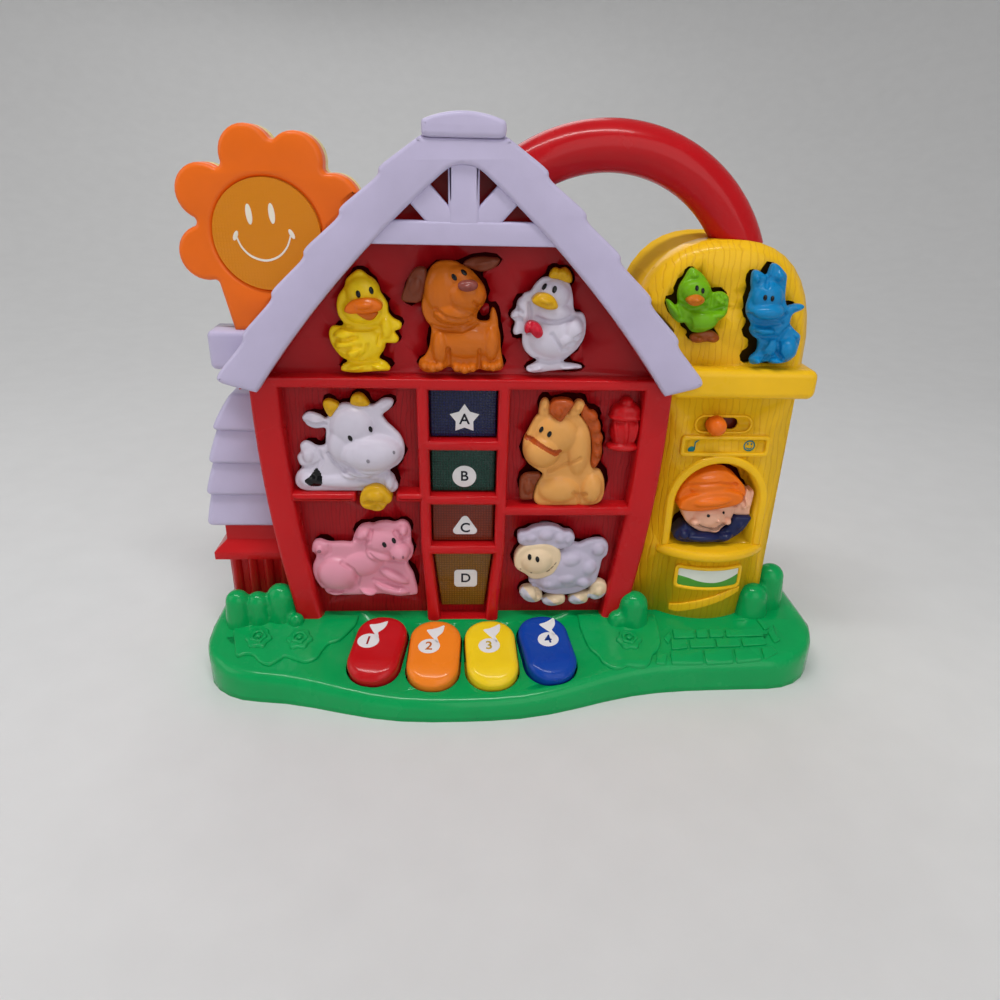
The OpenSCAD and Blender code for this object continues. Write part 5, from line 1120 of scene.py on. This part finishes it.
class FARM_OT_barn(FarmOperator, bpy.types.Operator):
    """Softens the barn's frame, carves its stall panels and hangs the lantern"""
    bl_idname = "farm.barn"
    bl_label = "Barn"

    def make(self, colours, sizes):
        red = barn_red(colours)
        # the stall panel and the gable take a darker red than the frame as painted shade of the recess; the
        # grain on the panel is its own
        panel = grained("stall_grain_and_shade", colours.panel, shade(colours.panel, 0.72), period=1.8, depth=0.25)
        gable = moulded("gable_red", colours.panel, rough=0.36)
        body = copy_node("barn_front", "barn_frame")
        front = -17
        lines = [[(x, z - 4.8 if z < 30 else z) for x, z in line if not (-104.5 < x < -47.5 and 80 < z < 94)]
                 for line in outlines(body, front)]
        posts = slab("posts", [line for line in lines if len(line) > 2], front, -5.8, sizes.post_edge / MM)
        shelves = [slab("shelf", [oblong(x0, 86.2, x1, 90.4, 1.2)], front, -6, 1.8)
                   for x0, x1 in ((-104.6, -75.4), (-57.2, -44))]
        posts = paint(join(posts, *shelves), red)
        cut_face(body, -8.01)
        paint(body, red, panel, gable)
        loft = 144
        paint_faces(body, 1, lambda c, n: n.y < -0.9 and -8.2 < c.y < -7.8)
        paint_faces(body, 2, lambda c, n: n.y < -0.9 and -8.2 < c.y < -7.8 and c.z > loft)
        lantern = sculpt("lantern", [
            (46.5, 128.6, 7, 4.6, 0, 7), (46.5, 126.4, 8, 1.9, 0, 7.4), (46.5, 133.2, 2.8, 2.4, 0, 5.4),
            (46.5, 119.4, 6.8, 7.6, 0, 7), (46.5, 119.4, 1.5, 7, 0, 8.2), (42, 119.4, 1.3, 6, 8, 7),
            (51, 119.4, 1.3, 6, -8, 7), (46.5, 112.4, 8, 2.3, 0, 7.4)], STALL_FACE, 2)
        piece = join(body, posts, paint(lantern, red))
        place(piece, "barn_frame", 40, HOUSING, "barn_red", "barn_front")


class FARM_OT_roof(FarmOperator, bpy.types.Operator):
    """Softens the shingled roof and its gable trim"""
    bl_idname = "farm.roof"
    bl_label = "Roof"

    def make(self, colours, sizes):
        lavender = moulded("roof_lavender", colours.roof, rough=0.34)
        edge = sizes.trim_edge / MM
        front = copy_node("roof_front", "roof_gable")
        trims = [slab("trim", [rounded(line, 4.5) for line in outlines(front, -24)], -24, -16, edge),
                 slab("ridge", [rounded(line, 3.6) for line in outlines(front, -25)], -25, -16, edge),
                 slab("beam", [[(-64, 199.4), (11, 199.4), (2, 208.4), (-55, 208.4)]], -22.5, -16.5, 1.2),
                 slab("post", [oblong(-32.5, 203, -20.5, 229, 0.4)], -22.3, -16.5, 1.2),
                 slab("brace", [[(-26.8, 208.5), (-30.5, 211.8), (-44.6, 227), (-52, 219.6), (-40.6, 207.4),
                                 (-38, 203), (-30, 203)]], -22.1, -16.5, 1.2),
                 slab("brace", [[(-26.2, 208.5), (-23, 203), (-15, 203), (-12.4, 207.4), (-1, 219.6),
                                 (-8.4, 227), (-22.5, 211.8)]], -22, -16.5, 1.2),
                 slab("block", [oblong(-137.1, 143.4, -104, 160.6, 2.6)], -2.8, 8, 2.2)]
        cut_face(front, -16.85)
        rear = copy_node("roof_rear", "roof_back")
        def corners(x, y, z):
            side = 1 if x < BARN_X else -1
            if 101 < abs(x - BARN_X) < 103 and z < 147:
                x, z = x + 1.6 * side, z + 1.4
            elif z > 241 and abs(x - BARN_X) > 14:
                x, z = x + 1.4 * side, z - 2.6
            elif x < -136.3 and y < 7:
                x, y, z = x + 1.4, y + 1.4, z + (1.2 if z < 150 else -1.2)
            return x, y, z
        reshape(front, corners)
        reshape(rear, corners)
        front = paint(join(front, *trims), lavender)
        place(front, "roof_gable", 40, HOUSING, "roof_lavender", "roof_front")
        place(paint(rear, lavender), "roof_back", 30, HOUSING, "roof_lavender", "roof_rear")


class FARM_OT_silo(FarmOperator, bpy.types.Operator):
    """Softens the silo and adds its grain, label, plaque and slider"""
    bl_idname = "farm.silo"
    bl_label = "Silo"

    def make(self, colours, sizes):
        grain = grained("silo_grain", colours.silo, tint("#eeb418"), period=2.8, depth=0.3, stretch=0.4,
                        rough=0.34)
        plain = moulded("silo_plain", colours.silo, rough=0.28, coat=0.24)
        teal = moulded("print_teal", tint("#1b7d86"), coat=0)
        front = copy_node("silo_front", "silo_face")
        shelf = slab("ledge", [oblong(64.6, 136.4, 128.8, 149.6, 3.6)], -16.9, 46.6, 3, 4)
        def draw_in(x, y, z):
            if -8.1 < y < -5.4 and 88 < x < 100 and 150.2 < z < 195:
                return x + 3.7 * (100 - x) / 12, y, z - 1.3 * max(0, z - 184) / 10
            if -8.1 < y < -5.4 and 56 < x < 87 and 158 < z < 193.2:
                drop = 1.3 * max(0, z - 184) / 8
                return x + 2.5 * max(0, 70 - x) / 14, y, z + 1.4 * max(0, 170 - z) / 12 - drop
            if 136.5 < z < 149.5 and (x > 127 or y < -15 or y > 45):
                return min(x, 126), max(min(y, 44.4), -14), 138.6 if z < 138 else 147.4 if z > 148 else z
            return x, y, z
        reshape(front, draw_in)
        recess = slab("slot_rim", [oblong(79, 117.7, 106, 126.7, 4.4),
                                   oblong(80.1, 118.8, 104.9, 125.6, 3.4)[::-1]], -8.45, -7, 0.5)
        bay_r, bay_y, bay_x = 34.25, 18.25, 94.5
        arc = [math.radians(i) for i in range(-44, 45, 4)]
        sill_r = bay_r + 3.6
        brim = [(bay_x + sill_r * math.sin(a), bay_y - sill_r * math.cos(a)) for a in arc]
        sill = soft_plate("sill", [brim + [(bay_x + 26, -6.5), (bay_x - 26, -6.5)]], 55.4, 60.9, 2.2)
        arch = slab("arch", outlines(front, -9.5), -10.3, -7, 1.2)
        rim = slab("label_rim", [oblong(73.6, 106.8, 115.4, 117, 2),
                                 oblong(75.6, 108.8, 113.4, 115, 1)[::-1]], -9.8, -7, 0.85)
        paint(front, grain, plain)
        paint_faces(front, 1, lambda c, n: (136.9 < c.z < 149.1 or n.y > -0.3 and c.z > 60
                                            or -7.1 < c.y < -6.9))
        for part in (shelf, sill, arch, rim, recess):
            paint(part, plain)
        def on_bay(x, y, z):
            a = (x - bay_x) / bay_r
            r = bay_r - 16 - y
            return bay_x + r * math.sin(a), bay_y - r * math.cos(a), z
        rail = slab("plaque_rim", [oblong(77.4, 38.6, 111.6, 51.6, 2.4),
                                   oblong(79.2, 40.4, 109.8, 49.8, 1.2)[::-1]], -17.2, -15, 0.7)
        plate = slab("plaque", [oblong(78.6, 39.8, 110.4, 50.4, 1.4)], -16.25, -15, 0.1, 1)
        crest = flowing([(78.8, 45.6), (84, 45), (90, 43.4), (97, 42.8), (103, 43.8), (110.2, 46.4)], 4)
        hill = slab("plaque_field", [crest + [(110.2, 40), (78.8, 40)]], -16.4, -15.4, 0.1, 1)
        brace = slab("brace", [[(76.6, 24.6), (81.2, 24.6), (112.4, 35.6), (112.4, 38.2), (107, 38.2),
                                (76.6, 28)]], -16.8, -15, 0.6)
        paint(rail, plain)
        paint(plate, moulded("plaque_pale", tint("#e6e8df"), rough=0.4, mottle=0.05))
        paint(hill, moulded("plaque_green", tint("#4f9a33"), rough=0.4, mottle=0.15))
        paint(brace, grain)
        for part in (rail, plate, hill, brace):
            slices(part, (1, 0, 0), 77, 112, 1.5)
            reshape(part, on_bay)
        prints = [printed(name, lines, -8.02, teal) for name, lines in (
            ("note_head", [ring(79.2, 109.9, 1.7, 1.4, 20, turn=20)]),
            ("note_flag", [[(80.3, 110), (80.9, 110), (80.9, 113), (82.6, 114.6), (81.2, 114.2),
                            (80.3, 113.6)]]),
            ("smile_ring", [ring(106.2, 111.8, 2.7, 2.7, 28), ring(106.2, 111.8, 2.1, 2.1, 28)[::-1]]),
            ("smile_eye", [ring(105.4, 112.7, 0.35, 0.55, 12)]),
            ("smile_eye", [ring(107.1, 112.7, 0.35, 0.55, 12)]),
            ("smile", [[(104.6, 111.2), (105.2, 110.3), (106.2, 109.9), (107.2, 110.3), (107.8, 111.2),
                        (107.2, 110.8), (106.2, 110.5), (105.2, 110.8)][::-1]]))]
        back = copy_node("silo_rear", "silo_back")
        reshape(back, draw_in)
        paint(back, moulded("silo_side", colours.silo, rough=0.5, coat=0, shine=0.02))
        place(back, "silo_back", 35, HOUSING, "silo_yellow", "silo_rear")
        piece = join(front, shelf, sill, arch, rim, recess, rail, plate, hill, brace, *prints)
        place(piece, "silo_face", 40, HOUSING, "silo_yellow", "silo_front")
        knob = sculpt("knob", [(88.5, 122.2, 4.5, 4.5, 0, 7.6)], STALL_FACE, 2)
        cut_behind(knob, -7.4)
        foot = copy_node("mode_knob", "knob_foot")
        cut_behind(foot, -8.6, keep_front=False)
        knob = paint(join(knob, foot), moulded("knob_orange", colours.knob))
        place(knob, "mode_knob_ball", 50, "mode_knob_body", "key_orange", "mode_knob")


class FARM_OT_sun(FarmOperator, bpy.types.Operator):
    """Softens the sun's petals and prints its face on the lens"""
    bl_idname = "farm.sun"
    bl_label = "Sun"

    def make(self, colours, sizes):
        orange = moulded("sun_orange", colours.petals, rough=0.34)
        petals = copy_node("sun_front", "sun_petals")
        rim = slab("petal_rim", outlines(petals, 0), 0, 6.5, 2.2)
        cut_face(petals, 5)
        petals = paint(join(petals, rim), orange)
        place(petals, "sun_petals", 40, HOUSING, "sun_orange", "sun_front")
        white = moulded("sun_print", tint("#f2ead8"), rough=0.45, coat=0)
        wide = flowing([(-120.2, 199), (-118.4, 194.6), (-114.6, 190.9), (-108.8, 189.3), (-103.2, 191.1),
                        (-99.4, 195), (-97.4, 199.8)], 6)
        inner = [(x + (-108.8 - x) * 0.055, z + (202 - z) * 0.07) for x, z in wide]
        marks = [printed(name, [line], -0.4, white) for name, line in (
            ("sun_eye", ring(-113.9, 207.8, 1.25, 4, 28, turn=4)),
            ("sun_eye", ring(-104.7, 208.2, 1.25, 4, 28, turn=4)),
            ("sun_smile", wide + inner[::-1]),
            ("sun_cheek", ring(-120.2, 199.4, 0.9, 2.1, 20, turn=-24)),
            ("sun_cheek", ring(-97.3, 200.4, 0.9, 2.1, 20, turn=28)))]
        place(join(*marks), "sun_face", None, HOUSING, "lens_amber")


class FARM_OT_shed(FarmOperator, bpy.types.Operator):
    """Softens the shed's shingles and boards"""
    bl_idname = "farm.shed"
    bl_label = "Shed"

    def make(self, colours, sizes):
        courses = []
        for foot, low, high, right in ((63.4, -152, -148.6, -114.2), (79.8, -150.3, -145.4, -115.4),
                                       (96.2, -147, -141.4, -116.6), (112.6, -143, -133.4, -117.4)):
            course = soft_plate("course", [oblong(low, 4, right, 43, 3.4)], foot, foot + 17.4, 1.9, 4)
            slices(course, (0, 0, 1), foot + 4, foot + 14, 2.5)
            def taper(x, y, z, foot=foot, low=low, high=high, right=right):
                t = max(0, (z - foot - 1.5) / 15.9)
                lean = (high - low) * t ** 1.2 * (right - x) / (right - low)
                return x + lean, y + 2.2 * t * (23.5 - y) / 19.5, z
            reshape(course, taper)
            courses.append(course)
        roof = paint(join(*courses), moulded("roof_lavender", colours.roof, rough=0.34))
        place(roof, "shed_shingles", 40, HOUSING, "roof_lavender", "shed_roof")
        eased("shed_wall", "shed_boards", 1.4, barn_red(colours), "barn_red")


class FARM_OT_windows(FarmOperator, bpy.types.Operator):
    """Models the four light-up windows with their letter stickers"""
    bl_idname = "farm.windows"
    bl_label = "Windows"

    def make(self, colours, sizes):
        ink = moulded("sticker_ink", tint("#22242e"), rough=0.5, coat=0)
        front = -11.5
        star = []
        for i in range(10):
            r = 6.9 if i % 2 == 0 else 4.1
            a = math.radians(90 + 36 * i)
            star.append((-26 + r * math.cos(a), 125 + r * math.sin(a)))
        triangle = []
        for i in range(3):
            a = math.radians(90 + 120 * i)
            for j in range(7):
                b = math.radians(90 + 120 * i - 60 + 20 * j)
                triangle.append((-25.6 + 4.4 * math.cos(a) + 1.9 * math.cos(b),
                                 71.2 + 3.9 * math.sin(a) + 1.9 * math.sin(b)))
        for node, slot, code, shape, text, x, z in (
                ("window_a", "pane_blue", "#141c4c", star, "A", -26, 124.7),
                ("window_b", "pane_green", "#0c4034", ring(-26, 97.2, 5.5, 5.3), "B", -26, 97.2),
                ("window_c", "pane_orange", "#843018", triangle, "C", -25.5, 70.6),
                ("window_d", "pane_amber", "#8e601a", oblong(-30.8, 38.2, -19.6, 47.8, 1.8), "D", -25.2, 43)):
            # the panes' ribs are painted lighter and darker as painted highlight and shade
            tinted = see_through(slot, tint(code))
            pane = copy_node(node, node + "_pane")
            face = slab("pane_face", outlines(pane, front), front, -9, 0.8)
            cut_face(pane, -9.6)
            for part in (pane, face):
                paint(part, tinted)
            mark = printed("sticker", [shape], front, sticker_white())
            sign = upright(letter("sign", text, x, z, 6.8, ink))
            reshape(sign, lambda x, y, z: (x, y + front - 0.1, z))
            piece = join(pane, face, mark, sign)
            place(piece, node + "_pane", 35, node + "_body", slot, node)


class FARM_OT_works(FarmOperator, bpy.types.Operator):
    """Finishes the rear housings and the works inside"""
    bl_idname = "farm.works"
    bl_label = "Works"

    def make(self, colours, sizes):
        red = barn_red(colours)
        handle = moulded("handle_red", colours.handle, rough=0.24, coat=0.26)
        lamp = moulded("lamp_white", tint("#f3efe2"))
        steel = metal("steel", tint("#b4b6ba"))
        board = moulded("board_green", tint("#2f7d4f"), rough=0.4)
        rubber = moulded("contact_rubber", tint("#4a4d55"), rough=0.7)
        looks = {
            "battery_door": red, "speaker_ring": red, "handle_front": handle, "handle_rear": handle,
            "sun_rear": moulded("sun_back", colours.sun_back),
            # the lens glows with painted light, and its ribs carry faint painted highlight and shade
            "sun_lens": see_through("sun_lens", colours.lens, 0.1, light=1.02, dark=0.96),
            "mode_switch": moulded("switch_brown", tint("#6e2414")),
            "button_board": board, "silo_board": board, "farmer_board": board, "key_board": board,
            "contact_domes": rubber, "window_leds": lamp, "sun_led": lamp,
            "speaker": moulded("speaker_black", tint("#26282b"), rough=0.6),
            "base_screws": steel, "case_screws": steel, "key_pins": steel, "door_screw": steel,
            "cell_contacts": steel,
            "cells": moulded("cell_case", tint("#3d4650"), rough=0.4),
        }
        eased("barn_rear", "barn_back", 0.8, red, "barn_red")
        for node, material in looks.items():
            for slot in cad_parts[node].material_slots:
                slot.material = material


class FARM_OT_stage(bpy.types.Operator):
    """Sets the pale floor, the soft lamps and the camera"""
    bl_idname = "farm.stage"
    bl_label = "Stage"

    def execute(self, context):
        stage = context.scene.farm_stage
        bpy.ops.object.select_all(action="DESELECT")
        bpy.ops.mesh.primitive_circle_add(vertices=96, radius=0.7, fill_type="NGON", location=(0, 0, 0))
        floor = context.object
        floor.name = "floor"
        bpy.ops.object.mode_set(mode="EDIT")
        for radius, height in ((0.9, 0.02), (1.1, 0.07), (1.3, 0.16), (1.5, 0.3), (1.68, 0.5), (1.84, 0.76),
                               (1.96, 1.1), (2.04, 1.6), (2.08, 2.4)):
            bpy.ops.mesh.extrude_region_move()
            bm = bmesh.from_edit_mesh(floor.data)
            for vert in bm.verts:
                if vert.select:
                    flat = Vector((vert.co.x, vert.co.y)).normalized() * radius
                    vert.co = (flat.x, flat.y, height)
            bmesh.update_edit_mesh(floor.data)
        bpy.ops.mesh.delete(type="FACE")
        bpy.ops.object.mode_set(mode="OBJECT")
        bpy.ops.object.shade_smooth()
        paint(floor, moulded("floor_pale", stage.floor, rough=0.7, mottle=0.02, coat=0))
        for name, place_at, aim, size, power in (
                ("ceiling", (-0.1, -0.3, 1.1), (0, 0, 0.1), (0.9, 0.1), stage.key),
                ("front", (0.35, -1.05, 0.62), (0, 0, 0.12), (0.9, 0.9), stage.fill),
                ("left", (-1.0, -0.3, 0.6), (0, 0, 0.12), (0.7, 0.7), stage.fill * 0.6),
                ("back", (-0.2, 1.25, 1.15), (0, 0, 0.12), (0.9, 0.9), stage.fill * 1.4)):
            bpy.ops.object.light_add(type="AREA", location=place_at)
            lamp = context.object
            lamp.name = name
            lamp.data.shape = "RECTANGLE"
            lamp.data.size, lamp.data.size_y = size
            lamp.data.energy = power
            lamp.rotation_euler = (Vector(aim) - Vector(place_at)).to_track_quat("-Z", "Y").to_euler()
        world = bpy.data.worlds.new("studio")
        context.scene.world = world
        world.use_nodes = True
        even = world.node_tree.nodes["Background"].inputs
        even["Color"].default_value = (1, 1, 1, 1)
        even["Strength"].default_value = stage.sky
        bpy.ops.object.camera_add(location=(-0.026, -0.3304, 0.2322))
        camera = context.object
        right = Vector((0.998864, -0.041867, 0.022749))
        up = Vector((-0.003139, 0.418588, 0.908165))
        back = -Vector((0.047545, 0.907205, -0.41798))
        camera.rotation_euler = Matrix((right, up, back)).transposed().to_euler()
        camera.data.sensor_width = 36
        camera.data.lens = 27.04
        camera.data.clip_start = 0.01
        context.scene.camera = camera
        context.scene.view_settings.view_transform = "Standard"
        return {"FINISHED"}


class FARM_PT_panel(bpy.types.Panel):
    """Lists the steps that finish the playset"""
    bl_idname = "FARM_PT_panel"
    bl_label = "Farm playset"
    bl_space_type = "VIEW_3D"
    bl_region_type = "UI"
    bl_category = "Farm playset"

    def draw(self, context):
        for operator in OPERATORS:
            self.layout.operator(operator.bl_idname)
        for group in (context.scene.farm_sizes, context.scene.farm_colours, context.scene.farm_stage):
            for key in group.bl_rna.properties.keys():
                if key not in ("rna_type", "name"):
                    self.layout.prop(group, key)


GROUPS = (FarmColours, FarmSizes, FarmStage)
OPERATORS = (FARM_OT_stage, FARM_OT_base, FARM_OT_keys, FARM_OT_barn, FARM_OT_roof, FARM_OT_silo, FARM_OT_sun,
             FARM_OT_shed, FARM_OT_windows, FARM_OT_works, FARM_OT_barn_animals, FARM_OT_silo_figures)


def register():
    for cls in GROUPS + OPERATORS + (FARM_PT_panel,):
        bpy.utils.register_class(cls)
    bpy.types.Scene.farm_colours = bpy.props.PointerProperty(type=FarmColours)
    bpy.types.Scene.farm_sizes = bpy.props.PointerProperty(type=FarmSizes)
    bpy.types.Scene.farm_stage = bpy.props.PointerProperty(type=FarmStage)


def unregister():
    del bpy.types.Scene.farm_colours, bpy.types.Scene.farm_sizes, bpy.types.Scene.farm_stage
    for cls in reversed(GROUPS + OPERATORS + (FARM_PT_panel,)):
        bpy.utils.unregister_class(cls)


def main():
    register()
    for operator in OPERATORS:
        group, step = operator.bl_idname.split(".")
        getattr(getattr(bpy.ops, group), step)()


if __name__ == "__main__":
    main()
